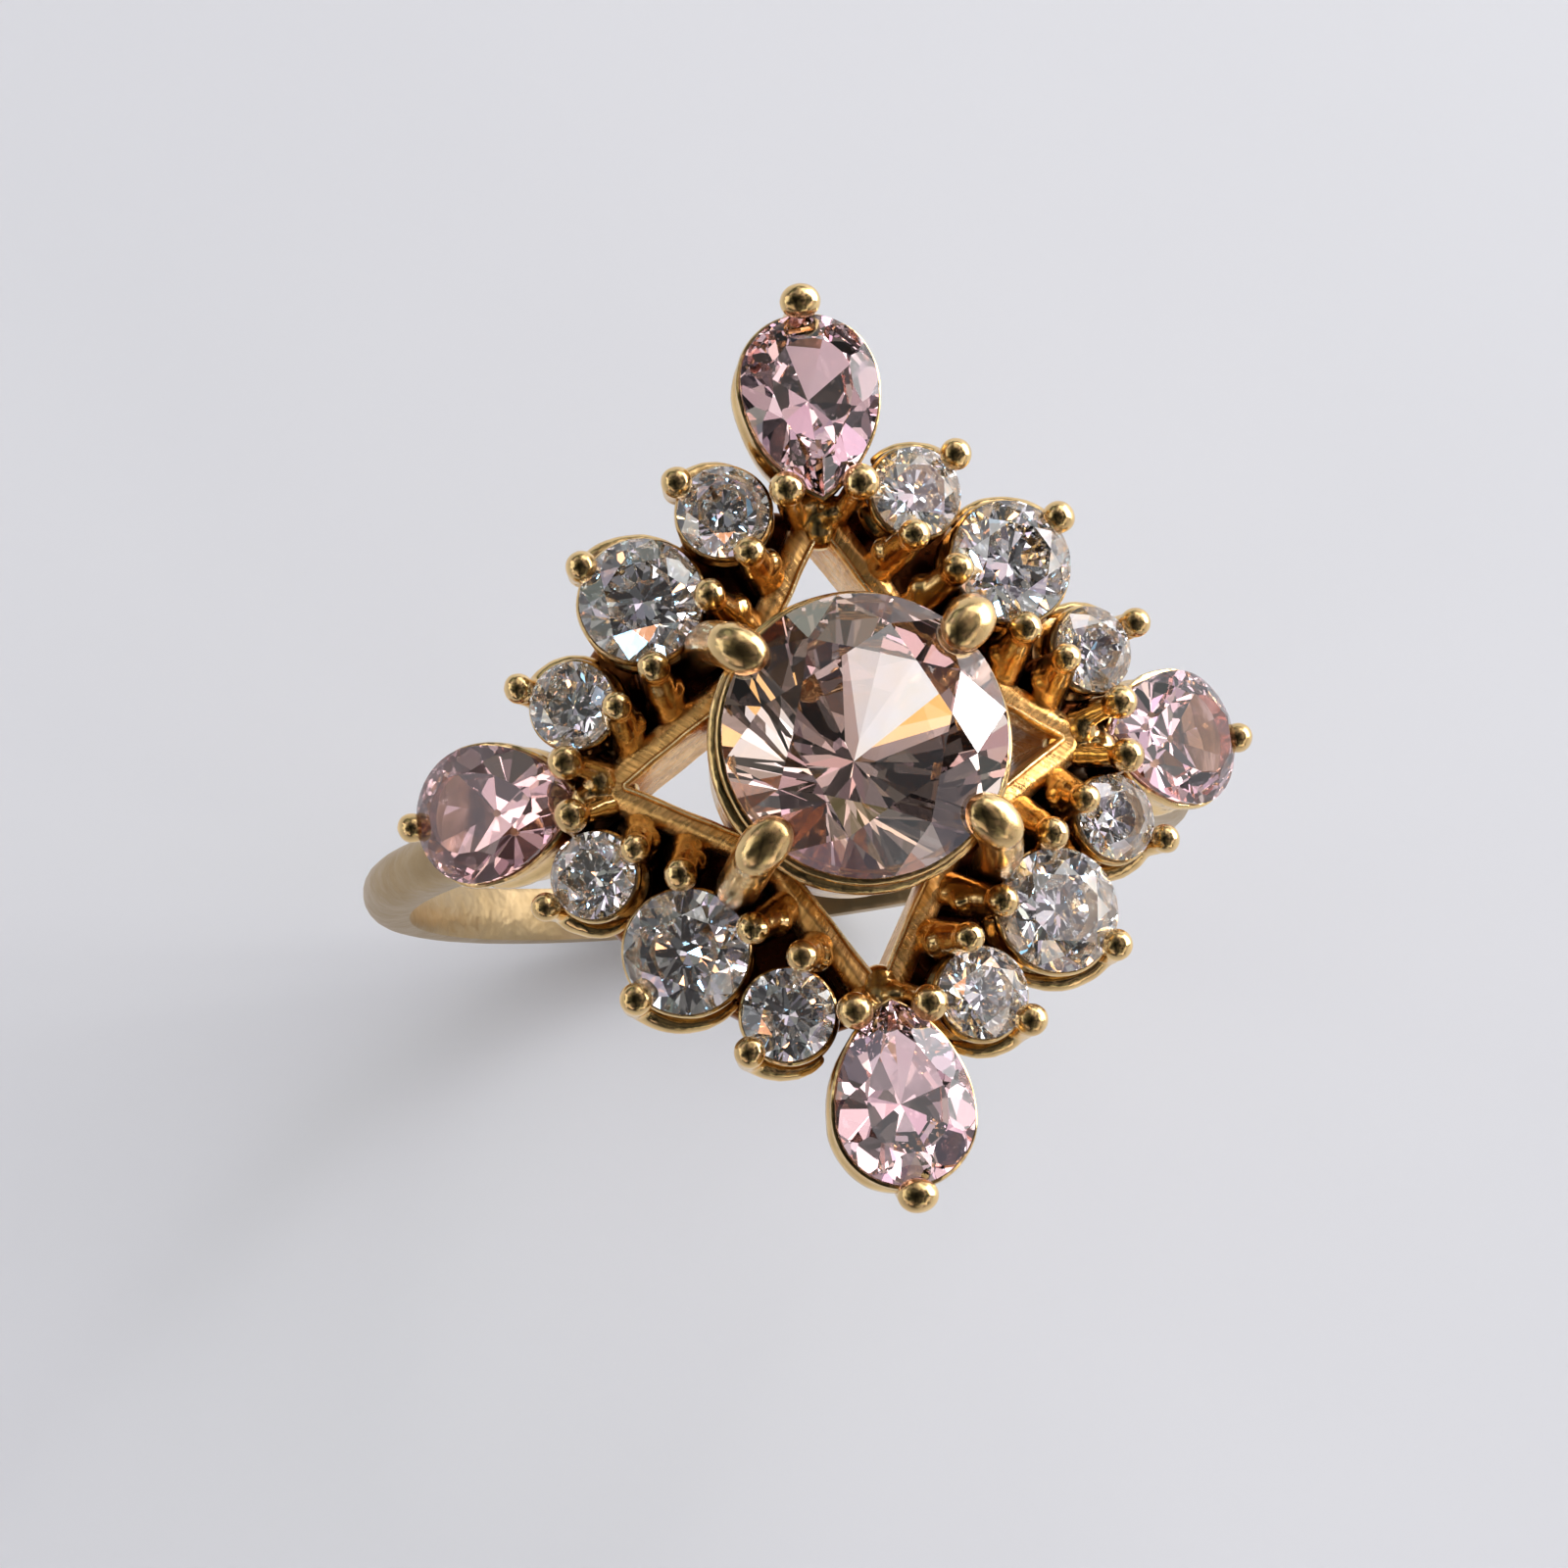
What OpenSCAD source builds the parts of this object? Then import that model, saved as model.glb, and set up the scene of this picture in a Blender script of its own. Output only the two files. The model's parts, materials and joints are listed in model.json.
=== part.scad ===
// Compass star cocktail ring: a thin finger band carries a raised four-pointed
// star frame with a round centre stone, four pear stones on the points and
// three round stones in every quarter between them.
// Millimetres. Origin at the centre of the finger hole, +Y along the finger,
// +Z towards the head, +X towards the east point of the star.

/* [Band] */
// Inside diameter of the finger hole
finger_d = 17.3; // [15:0.1:21]
// Radial thickness of the band
band_t = 1.05; // [0.9:0.05:1.4]
// Width of the band along the finger
band_w = 1.3; // [1.1:0.05:1.8]
// Half angle at the top where the band is open under the head
band_gap = 40; // [36:1:44]

/* [Centre stone] */
// Diameter of the round centre stone
centre_d = 6.15; // [6:0.05:6.3]
// Girdle height of the centre stone above the band's outside
centre_rise = 5.65; // [5.4:0.05:6]

/* [Pear stones] */
// Length of a pear stone, tip to round end
pear_l = 4; // [3.8:0.05:4.1]
// Width of a pear stone
pear_w = 3; // [2.8:0.05:3.1]
// Distance of the north and south pears from the centre
pear_ns_y = 7.5; // [7.4:0.05:7.8]
// Girdle height of the north and south pears above the band's outside
pear_ns_rise = 4.35; // [4.2:0.05:4.6]
// Distance of the east and west pears from the centre
pear_ew_x = 7.5; // [7.4:0.05:7.7]
// Girdle height of the east and west pears above the band's outside
pear_ew_rise = 0.75; // [0.6:0.05:1]
// Outward tilt of the east and west pears, degrees
pear_ew_tilt = 38; // [34:1:40]

/* [Round side stones] */
// Diameter of the large round stones
large_d = 2.7; // [2.5:0.05:2.8]
// Diameter of the small round stones beside the north and south pears
small_a_d = 2; // [1.9:0.05:2.05]
// Diameter of the small round stones beside the east and west pears
small_b_d = 1.9; // [1.8:0.05:1.95]

/* [Star frame] */
// Distance of each inside point of the star from the centre
star_in = 4.9; // [4.8:0.05:5]
// Width of a star bar
bar_w = 0.65; // [0.6:0.05:0.7]
// Depth of a star bar
bar_h = 2.5; // [2.2:0.1:2.6]
// Height of the star's top face above the band's outside
star_rise = 3.3; // [3.2:0.05:3.5]

/* [Hidden] */

$fn = 48;
gold = "goldenrod";
pink = "pink";
clear = "aliceblue";

bore_r = finger_d / 2;
band_r = bore_r + band_t;
star_r = band_r + star_rise;       // outside radius of the curved star frame
star_low_r = star_r - bar_h;
gallery_r = star_r - 1.35;         // top of the gallery plates between the cups

// proportions of a round brilliant, as parts of its diameter
table_k = 0.57;
crown_k = 0.15;
girdle_k = 0.03;
pavilion_k = 0.43;

// places in the north-east quarter: position, then tilt [towards east, towards north]
centre_p = [0, 0, band_r + centre_rise];
pear_n_p = [0, pear_ns_y, band_r + pear_ns_rise];
pear_e_p = [pear_ew_x, 0, band_r + pear_ew_rise];
large_p = [4.07, 3.85, band_r + 3.25];
large_tilt = [11.5, 3];
small_a_p = [2.12, 5.5, band_r + 3.7];
small_a_tilt = [9.5, 1.5];
small_b_p = [5.75, 1.87, band_r + 2.4];
small_b_tilt = [23, 0];

// bead ends of the prongs in the north-east quarter
claw_tip = [2.4, 2.07, band_r + 5.92];
claw_foot = [2.75, 2.6, band_r + 2.6];
claw_r = 0.52;
pear_n_out = [0, 9.75, band_r + 4.65];
pear_n_in = [0.81, 5.68, band_r + 4.57];
pear_e_out = [9.25, 0, band_r - 0.42];
pear_e_in = [6.11, 0.59, band_r + 2.78];
small_a_out = [3.06, 6.22, band_r + 3.84];
small_a_in = [1.8, 4.4, band_r + 4.66];
small_b_out = [6.82, 2.4, band_r + 2.1];
small_b_in = [4.92, 1.55, band_r + 3.59];
large_out = [5.25, 4.73, band_r + 3.14];
large_in_a = [2.72, 3.63, band_r + 4.22];
large_in_b = [4.06, 2.26, band_r + 3.88];
bead_r = 0.37;
bead_big_r = 0.41;
bead_small_r = 0.34;
stem_r = 0.25;

// ---------------------------------------------------------------- helpers
module east_side(e) { if (e) children(); else mirror([1, 0, 0]) children(); }
module north_side(n) { if (n) children(); else mirror([0, 1, 0]) children(); }
module quarter(e, n) { east_side(e) north_side(n) children(); }
module place(p, tilt) { translate(p) rotate([-tilt[1], tilt[0], 0]) children(); }

// a round rod between two points
module rod(a, b, ra, rb) {
    d = b - a;
    l = norm(d);
    translate(a) rotate([0, acos(d[2] / l), atan2(d[1], d[0])])
        cylinder(h = l, r1 = ra, r2 = rb);
}
module bead(p, r) { translate(p) sphere(r = r); }

// half-round band section, flat against the finger
module band_section() {
    intersection() {
        translate([bore_r, -band_w / 2]) square([band_t + 0.2, band_w]);
        translate([bore_r + 0.33, 0]) circle(r = band_t - 0.33);
    }
}

// curved plate about the finger axis between two radii
module curved_plate(r_in, r_out) {
    rotate([90, 0, 0]) difference() {
        cylinder(h = 16, r = r_out, center = true, $fn = 96);
        cylinder(h = 18, r = r_in, center = true, $fn = 96);
    }
}

// ---------------------------------------------------------------- stones
function polar(r, a, z) = [r * cos(a), r * sin(a), z];

// round brilliant with its girdle's lower edge at z = 0
module brilliant(d) {
    r = d / 2;
    g = girdle_k * d;
    hc = crown_k * d;
    hp = pavilion_k * d;
    rt = table_k * r;
    rm = (rt * cos(22.5) + r) / 2;
    zm = g + hc * (r - rm * cos(22.5)) / (r - rt);
    rl = 0.24 * r;
    zl = -hp * (1 - rl * cos(22.5) / r);
    t = [for (k = [0:7]) polar(rt, 45 * k, g + hc)];
    m = [for (k = [0:7]) polar(rm, 45 * k + 22.5, zm)];
    gu = [for (k = [0:15]) polar(r, 22.5 * k, g)];
    gl = [for (k = [0:15]) polar(r, 22.5 * k, 0)];
    lo = [for (k = [0:7]) polar(rl, 45 * k + 22.5, zl)];
    T = 0; M = 8; U = 16; L = 32; P = 48; C = 56;
    function n8(k) = (k + 8) % 8;
    function n16(k) = (k + 16) % 16;
    faces = concat(
        [[for (k = [7:-1:0]) T + k]],
        [for (k = [0:7]) [T + k, T + n8(k + 1), M + k]],
        [for (k = [0:7]) [T + k, M + k, U + 2 * k]],
        [for (k = [0:7]) [T + k, U + 2 * k, M + n8(k - 1)]],
        [for (k = [0:7]) [M + k, U + n16(2 * k + 1), U + 2 * k]],
        [for (k = [0:7]) [M + k, U + n16(2 * k + 2), U + n16(2 * k + 1)]],
        [for (k = [0:15]) [U + k, U + n16(k + 1), L + k]],
        [for (k = [0:15]) [U + n16(k + 1), L + n16(k + 1), L + k]],
        [for (k = [0:7]) [P + k, L + 2 * k, L + n16(2 * k + 1)]],
        [for (k = [0:7]) [P + k, L + n16(2 * k + 1), L + n16(2 * k + 2)]],
        [for (k = [0:7]) [C, L + 2 * k, P + k]],
        [for (k = [0:7]) [C, P + n8(k - 1), L + 2 * k]]);
    polyhedron(points = concat(t, m, gu, gl, lo, [[0, 0, -hp]]), faces = faces);
}

// pear outline grown by e: a round end towards +Y, two side arcs to a tip at -Y
pear_n = 12;
function pear_side_r() = (pow(pear_w / 2, 2) + pow(pear_l - pear_w / 2, 2)) / pear_w;
function pear_c() = pear_l / 2 - pear_w / 2;
function pear_sweep(e) = acos((pear_side_r() - pear_w / 2) / (pear_side_r() + e));
function pear_outline(e) =
    let (a = pear_w / 2 + e, rs = pear_side_r() + e, off = pear_side_r() - pear_w / 2,
         c = pear_c(), s = pear_sweep(e))
    concat(
        [for (k = [0:pear_n - 1]) [a * cos(180 * k / pear_n), c + a * sin(180 * k / pear_n)]],
        [for (k = [0:pear_n / 2 - 1]) let (t = s * k / (pear_n / 2))
            [off - rs * cos(t), c - rs * sin(t)]],
        [for (k = [0:pear_n / 2 - 1]) let (t = s * (1 - k / (pear_n / 2)))
            [rs * cos(t) - off, c - rs * sin(t)]]);

module pear_layer(e, z0, z1) {
    translate([0, 0, z0]) linear_extrude(height = z1 - z0) polygon(pear_outline(e));
}

// pear brilliant with its girdle's lower edge at z = 0
module pear_gem() {
    n = 2 * pear_n;
    g = girdle_k * pear_w * 1.3;
    hc = crown_k * pear_w;
    hp = pavilion_k * pear_w;
    function lift(pts, z) = [for (p = pts) [p[0], p[1], z]];
    pts = concat([[0, pear_c() - 0.3, -hp]],
        lift(pear_outline(0), 0), lift(pear_outline(0), g),
        lift(pear_outline(-0.3), g + 0.62 * hc), lift(pear_outline(-0.62), g + hc));
    faces = concat(
        [for (k = [0:n - 1]) [0, 1 + k, 1 + (k + 1) % n]],
        [for (q = [0:2], k = [0:n - 1])
            [1 + q * n + k, 1 + (q + 1) * n + k, 1 + q * n + (k + 1) % n]],
        [for (q = [0:2], k = [0:n - 1])
            [1 + q * n + (k + 1) % n, 1 + (q + 1) * n + k, 1 + (q + 1) * n + (k + 1) % n]],
        [[for (k = [n - 1:-1:0]) 1 + 3 * n + k]]);
    polyhedron(points = pts, faces = faces);
}

// ---------------------------------------------------------------- settings
// space that a round stone fills, for cutting its prongs and seat
module round_space(d) {
    r = d / 2;
    rotate_extrude() polygon([[0, -pavilion_k * d], [r, 0], [r, girdle_k * d],
        [table_k * r, (girdle_k + crown_k) * d], [0, (girdle_k + crown_k) * d]]);
}

// round cup: thin rail under the stone, recess, lower rail and a foot
module round_cup(d, depth) {
    r = d / 2;
    hp = pavilion_k * d;
    rotate_extrude() polygon([
        [r * (1 - 0.1 / hp), -0.1], [r + 0.05, -0.1], [r + 0.05, -0.34],
        [r - 0.12, -0.34], [r - 0.12, -0.9], [r, -0.9], [r, -1.25],
        [r - 0.22, -1.25], [r - 0.3, -depth], [0.5 * r, -depth],
        [0.5 * r, -0.5 * hp]]);
}

// outer prong of a cup, standing on the lower rail, with its bead
module outer_prong(foot, tip, r) {
    rod(foot, tip, stem_r + 0.06, stem_r);
    bead(tip, r);
}

// inner prong: a post on the cup's lower rail and a tie back to the star frame
module inner_prong(foot, tip, r) {
    rod(foot, tip, stem_r + 0.03, stem_r);
    bead(tip, r);
}
function post_foot(p, tilt, tip) = [
    p[0] + 0.78 * (tip[0] - p[0]) - 1.15 * sin(tilt[0]),
    p[1] + 0.78 * (tip[1] - p[1]) - 1.15 * sin(tilt[1]), p[2] - 1.15];
module post(p, tilt, tip) { rod(post_foot(p, tilt, tip), tip, stem_r + 0.04, stem_r); }

// foot of an inner prong on the side of the nearest star bar
bar_off = star_in / 2 + bar_w;    // distance of a bar's outer edge from the centre
function foot_n(p) = let (g = p[0] * cos(30) + p[1] * sin(30) - bar_off + 0.12)
    [p[0] - g * cos(30), p[1] - g * sin(30), star_r - 0.75];
function foot_e(p) = let (g = p[0] * sin(30) + p[1] * cos(30) - bar_off + 0.12)
    let (x = p[0] - g * sin(30)) [x, p[1] - g * cos(30), sqrt(pow(star_r - 0.75, 2) - x * x)];

module large_cup() {
    difference() {
        union() {
            place(large_p, large_tilt) round_cup(large_d, 1.95);
            outer_prong(large_out + [-0.55, -0.4, -1.35], large_out, bead_r);
            inner_prong(foot_n(large_in_a), large_in_a, bead_r);
            inner_prong(foot_e(large_in_b), large_in_b, bead_r);
            post(large_p, large_tilt, large_in_a);
            post(large_p, large_tilt, large_in_b);
        }
        place(large_p, large_tilt) round_space(large_d);
    }
}
module small_cup_a() {
    difference() {
        union() {
            place(small_a_p, small_a_tilt) round_cup(small_a_d, 2.05);
            outer_prong(small_a_out + [-0.5, -0.35, -1.3], small_a_out, bead_r);
            inner_prong(foot_n(small_a_in), small_a_in, bead_r);
            post(small_a_p, small_a_tilt, small_a_in);
        }
        place(small_a_p, small_a_tilt) round_space(small_a_d);
    }
}
module small_cup_b() {
    difference() {
        union() {
            place(small_b_p, small_b_tilt) round_cup(small_b_d, 1.75);
            outer_prong(small_b_out + [-0.75, -0.3, -1.1], small_b_out, bead_small_r);
            inner_prong(foot_e(small_b_in), small_b_in, bead_small_r);
            post(small_b_p, small_b_tilt, small_b_in);
        }
        place(small_b_p, small_b_tilt) round_space(small_b_d);
    }
}

// pear cup: the same rails on the pear outline, with a deep tapered foot
module pear_wall(depth) {
    difference() {
        union() {
            pear_layer(0.08, -0.35, -0.1);
            pear_layer(-0.04, -1, -0.35);
            pear_layer(0.03, -1.4, -1);
            pear_layer(-0.14, -depth, -1.4);
        }
        pear_layer(-0.1, -0.25, 0);
        pear_layer(-0.28, -0.42, -0.25);
        pear_layer(-0.5, -depth - 1, -0.42);
    }
}
module pear_clear() {
    translate([0, 0, 0]) linear_extrude(height = girdle_k * pear_w * 1.3) polygon(pear_outline(0));
    translate([0, 0, 0.05]) linear_extrude(height = 0.35) polygon(pear_outline(-0.3));
}
module pear_cup_n() {
    difference() {
        union() {
            translate(pear_n_p) pear_wall(2.4);
            outer_prong(pear_n_out + [0, -0.25, -1.5], pear_n_out, bead_big_r);
            for (s = [0, 1]) east_side(s == 1)
                inner_prong(pear_n_in + [-0.35, -0.32, -1.9], pear_n_in, bead_big_r);
        }
        translate(pear_n_p) pear_clear();
    }
}
// a point given in the tilted east pear's own axes
function in_pear_e(p) = pear_e_p + [
    p[1] * cos(pear_ew_tilt) + p[2] * sin(pear_ew_tilt), -p[0],
    -p[1] * sin(pear_ew_tilt) + p[2] * cos(pear_ew_tilt)];

module pear_cup_e() {
    difference() {
        union() {
            translate(pear_e_p) rotate([0, pear_ew_tilt, 0]) rotate([0, 0, -90]) pear_wall(2.3);
            outer_prong(pear_e_out + [-1.05, 0, -0.75], pear_e_out, bead_small_r);
            for (s = [0, 1]) north_side(s == 1) {
                inner_prong(pear_e_in + [-0.85, -0.15, -1], pear_e_in, bead_small_r);
                rod(in_pear_e([-0.72, -1.5, -0.8]), pear_e_in, stem_r + 0.04, stem_r);
            }
        }
        translate(pear_e_p) rotate([0, pear_ew_tilt, 0]) rotate([0, 0, -90]) pear_clear();
    }
}
module pear_stone_n() { translate(pear_n_p) pear_gem(); }
module pear_stone_e() {
    translate(pear_e_p) rotate([0, pear_ew_tilt, 0]) rotate([0, 0, -90]) pear_gem();
}

// ---------------------------------------------------------------- star frame
tip_cut = 5.5;                        // the star's points end under the pear tips
tip_half = (bar_off / sin(30) - tip_cut) * tan(30);
corner_in = star_in / (1 + tan(60));  // where the inner edges meet the diagonals
corner_out = bar_off / sin(30) / (1 + tan(60));
seat_r = 3;

// outline of one arm, s along the arm and t across it
function arm_outline(shift) = [
    [star_in - shift, 0], [corner_in * tan(60) * 0.58 - shift, corner_in * 1.03],
    [corner_out * 1 - shift, corner_out * 1], [tip_cut - shift, tip_half],
    [tip_cut - shift, -tip_half], [corner_out - shift, -corner_out],
    [corner_in * tan(60) * 0.58 - shift, -corner_in * 1.03]];

module star_arm_n() {
    difference() {
        intersection() {
            curved_plate(star_low_r, star_r);
            translate([0, 0, star_low_r - 2]) rotate([0, 0, 90])
                linear_extrude(height = bar_h + 4) polygon(arm_outline(0));
        }
        cylinder(h = 40, r = seat_r - 0.05);
    }
}
arm_lean = 18;
module star_arm_e() {
    mid = star_r * arm_lean * PI / 180;
    difference() {
        intersection() {
            curved_plate(star_low_r, star_r);
            rotate([0, arm_lean, 0]) translate([0, 0, star_low_r - 1])
                linear_extrude(height = bar_h + 2) polygon(arm_outline(mid));
        }
        cylinder(h = 40, r = seat_r - 0.05);
    }
}

// raised seat of the centre stone with two rails and a groove between them
module centre_seat() {
    color(gold) translate([0, 0, centre_p[2]]) {
        r = centre_d / 2;
        hp = pavilion_k * centre_d;
        rotate_extrude($fn = 96) polygon([
            [r * (1 - 0.2 / hp), -0.2], [r + 0.08, -0.2], [r + 0.08, -0.42],
            [r - 0.04, -0.42], [r - 0.04, -0.66], [r + 0.22, -0.66],
            [r + 0.22, -0.92], [seat_r, -0.92], [seat_r - 0.1, -3.9],
            [seat_r - 0.4, -3.9], [seat_r - 0.4, -hp * (1 - (seat_r - 0.4) / r)]]);
    }
}

module claw() {
    difference() {
        union() {
            rod(claw_foot + [0.05, 0.05, -1.4], claw_foot, 0.42, 0.47);
            rod(claw_foot, claw_tip, 0.47, 0.44);
            bead(claw_foot, 0.48);
            bead(claw_tip, claw_r);
        }
        translate(centre_p) round_space(centre_d);
        cylinder(h = centre_p[2] - 0.92, r = seat_r + 0.02);
    }
}

// curved plate that ties the three cups of a quarter to the star frame
module gallery() {
    intersection() {
        curved_plate(gallery_r - 0.6, gallery_r);
        linear_extrude(height = star_r + 2) polygon([[0.1, 5.25], [0.5, 5.7], [1.6, 5.9],
            [2.7, 5.35], [4.2, 4.25], [5.1, 3.1], [5.9, 2], [5.8, 1], [4.9, 0.15], [1.8, 1.95]]);
    }
}

// ---------------------------------------------------------------- pieces
module shank() {
    color(gold) rotate([90, 0, 0]) rotate([0, 0, 90 + band_gap])
        rotate_extrude(angle = 360 - 2 * band_gap, $fn = 120) band_section();
}

// solid shoulder from the band's end up to the pear cup and the star's point
module shoulder() {
    hull() {
        rotate([0, band_gap + 3, 0]) translate([-0.55, -0.5, bore_r + 0.2])
            cube([1.1, 1, band_t - 0.4]);
        rotate([0, band_gap + 3, 0]) translate([-0.2, -0.6, band_r - 0.3])
            cube([0.9, 1.2, 0.1]);
        translate(pear_e_p) rotate([0, pear_ew_tilt, 0]) translate([-0.1, -0.85, -2.35])
            cube([1, 1.7, 0.2]);
        rotate([0, 24, 0]) translate([-0.7, -0.7, star_low_r - 0.1]) cube([0.9, 1.4, 0.25]);
    }
}

module shoulder_east() { color(gold) shoulder(); }
module shoulder_west() { color(gold) east_side(false) shoulder(); }
module star_arm_north() { color(gold) star_arm_n(); }
module star_arm_south() { color(gold) north_side(false) star_arm_n(); }
module star_arm_east() { color(gold) star_arm_e(); }
module star_arm_west() { color(gold) east_side(false) star_arm_e(); }
module centre_stone() { color(pink) translate(centre_p) brilliant(centre_d); }
module pear_cup_north() { color(gold) pear_cup_n(); }
module pear_cup_south() { color(gold) north_side(false) pear_cup_n(); }
module pear_cup_east() { color(gold) pear_cup_e(); }
module pear_cup_west() { color(gold) east_side(false) pear_cup_e(); }
module pear_stone_north() { color(pink) pear_stone_n(); }
module pear_stone_south() { color(pink) north_side(false) pear_stone_n(); }
module pear_stone_east() { color(pink) pear_stone_e(); }
module pear_stone_west() { color(pink) east_side(false) pear_stone_e(); }

// the pieces that repeat in every quarter
module in_quarter(e, n, what) {
    quarter(e, n) {
        if (what == "claw") color(gold) claw();
        if (what == "gallery") color(gold) gallery();
        if (what == "large_cup") color(gold) large_cup();
        if (what == "small_cup_a") color(gold) small_cup_a();
        if (what == "small_cup_b") color(gold) small_cup_b();
        if (what == "large_stone") color(clear) place(large_p, large_tilt) brilliant(large_d);
        if (what == "small_stone_a") color(clear) place(small_a_p, small_a_tilt) brilliant(small_a_d);
        if (what == "small_stone_b") color(clear) place(small_b_p, small_b_tilt) brilliant(small_b_d);
    }
}

shank();
shoulder_east();
shoulder_west();
star_arm_north();
star_arm_east();
star_arm_south();
star_arm_west();
centre_seat();
centre_stone();
pear_cup_north();
pear_cup_east();
pear_cup_south();
pear_cup_west();
pear_stone_north();
pear_stone_east();
pear_stone_south();
pear_stone_west();
in_quarter(true, true, "claw");  // claw_ne
in_quarter(false, true, "claw");  // claw_nw
in_quarter(true, false, "claw");  // claw_se
in_quarter(false, false, "claw");  // claw_sw
in_quarter(true, true, "gallery");  // gallery_ne
in_quarter(false, true, "gallery");  // gallery_nw
in_quarter(true, false, "gallery");  // gallery_se
in_quarter(false, false, "gallery");  // gallery_sw
in_quarter(true, true, "large_cup");  // large_cup_ne
in_quarter(false, true, "large_cup");  // large_cup_nw
in_quarter(true, false, "large_cup");  // large_cup_se
in_quarter(false, false, "large_cup");  // large_cup_sw
in_quarter(true, true, "large_stone");  // large_stone_ne
in_quarter(false, true, "large_stone");  // large_stone_nw
in_quarter(true, false, "large_stone");  // large_stone_se
in_quarter(false, false, "large_stone");  // large_stone_sw
in_quarter(true, true, "small_cup_a");  // small_cup_a_ne
in_quarter(false, true, "small_cup_a");  // small_cup_a_nw
in_quarter(true, false, "small_cup_a");  // small_cup_a_se
in_quarter(false, false, "small_cup_a");  // small_cup_a_sw
in_quarter(true, true, "small_stone_a");  // small_stone_a_ne
in_quarter(false, true, "small_stone_a");  // small_stone_a_nw
in_quarter(true, false, "small_stone_a");  // small_stone_a_se
in_quarter(false, false, "small_stone_a");  // small_stone_a_sw
in_quarter(true, true, "small_cup_b");  // small_cup_b_ne
in_quarter(false, true, "small_cup_b");  // small_cup_b_nw
in_quarter(true, false, "small_cup_b");  // small_cup_b_se
in_quarter(false, false, "small_cup_b");  // small_cup_b_sw
in_quarter(true, true, "small_stone_b");  // small_stone_b_ne
in_quarter(false, true, "small_stone_b");  // small_stone_b_nw
in_quarter(true, false, "small_stone_b");  // small_stone_b_se
in_quarter(false, false, "small_stone_b");  // small_stone_b_sw
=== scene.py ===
import json, math
import bmesh, bpy
from mathutils import Matrix, Vector, noise

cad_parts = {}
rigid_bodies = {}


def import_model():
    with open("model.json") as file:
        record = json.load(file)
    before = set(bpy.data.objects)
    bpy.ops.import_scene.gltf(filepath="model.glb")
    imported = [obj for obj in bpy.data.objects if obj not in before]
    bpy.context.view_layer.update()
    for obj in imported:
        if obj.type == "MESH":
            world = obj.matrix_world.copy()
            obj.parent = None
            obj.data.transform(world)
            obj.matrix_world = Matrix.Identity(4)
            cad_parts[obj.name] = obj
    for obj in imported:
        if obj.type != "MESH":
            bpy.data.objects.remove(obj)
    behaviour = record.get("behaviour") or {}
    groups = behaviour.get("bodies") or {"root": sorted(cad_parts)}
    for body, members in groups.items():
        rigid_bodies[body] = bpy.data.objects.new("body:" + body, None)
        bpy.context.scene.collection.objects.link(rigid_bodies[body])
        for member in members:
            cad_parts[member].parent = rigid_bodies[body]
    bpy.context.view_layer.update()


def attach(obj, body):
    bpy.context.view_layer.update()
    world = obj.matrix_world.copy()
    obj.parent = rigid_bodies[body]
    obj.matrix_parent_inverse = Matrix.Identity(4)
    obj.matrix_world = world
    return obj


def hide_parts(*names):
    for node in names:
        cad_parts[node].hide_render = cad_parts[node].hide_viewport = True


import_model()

MM = 0.001
TURN = 6.2831853                                     # one full turn in radians
scene = bpy.context.scene
V = Vector


def rad(a):
    return math.radians(a)


# ------------------------------------------------------------------ camera
CAM_PLACE = V((-23.81, -23.72, 169.75))
CAM_ANGLES = (9.323, -6.952, -7.407)                 # degrees about X, Y and Z
CAM_LENS, CAM_SENSOR = 170.8, 36

cam_data = bpy.data.cameras.new("camera")
cam_data.lens = CAM_LENS
cam_data.sensor_width = CAM_SENSOR
cam_data.clip_start = 0.01
cam_data.clip_end = 20
cam = bpy.data.objects.new("camera", cam_data)
cam.location = CAM_PLACE * MM
cam.rotation_euler = [rad(a) for a in CAM_ANGLES]
scene.collection.objects.link(cam)
scene.camera = cam


# --------------------------------------------------------------- materials
def new_material(name):
    m = bpy.data.materials.new(name)
    m.use_nodes = True
    m.node_tree.nodes.clear()
    nt = m.node_tree
    out = nt.nodes.new("ShaderNodeOutputMaterial")
    bsdf = nt.nodes.new("ShaderNodeBsdfPrincipled")
    nt.links.new(bsdf.outputs[0], out.inputs[0])
    return m, nt, bsdf


def millimetres(nt, scale=(1, 1, 1), uv=False):
    """Object coordinates in millimetres, or the piece's own along-and-across map."""
    co = nt.nodes.new("ShaderNodeTexCoord")
    mp = nt.nodes.new("ShaderNodeMapping")
    k = 1 if uv else 1000
    mp.inputs["Scale"].default_value = [k * s for s in scale]
    nt.links.new(co.outputs["UV" if uv else "Object"], mp.inputs["Vector"])
    return mp.outputs[0]


def noise_node(nt, vec, scale, detail=4, rough=0.55):
    n = nt.nodes.new("ShaderNodeTexNoise")
    n.inputs["Scale"].default_value = scale
    n.inputs["Detail"].default_value = detail
    n.inputs["Roughness"].default_value = rough
    nt.links.new(vec, n.inputs["Vector"])
    return n.outputs["Fac"]


def ramp(nt, fac, stops):
    r = nt.nodes.new("ShaderNodeValToRGB")
    els = r.color_ramp.elements
    while len(els) < len(stops):
        els.new(0.5)
    for e, (p, c) in zip(els, stops):
        e.position = p
        e.color = (*c, 1)
    nt.links.new(fac, r.inputs[0])
    return r.outputs[0]


def grey(v):
    return (v, v, v)


def dimmed(k, colour):
    return tuple(k * c for c in colour)


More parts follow.
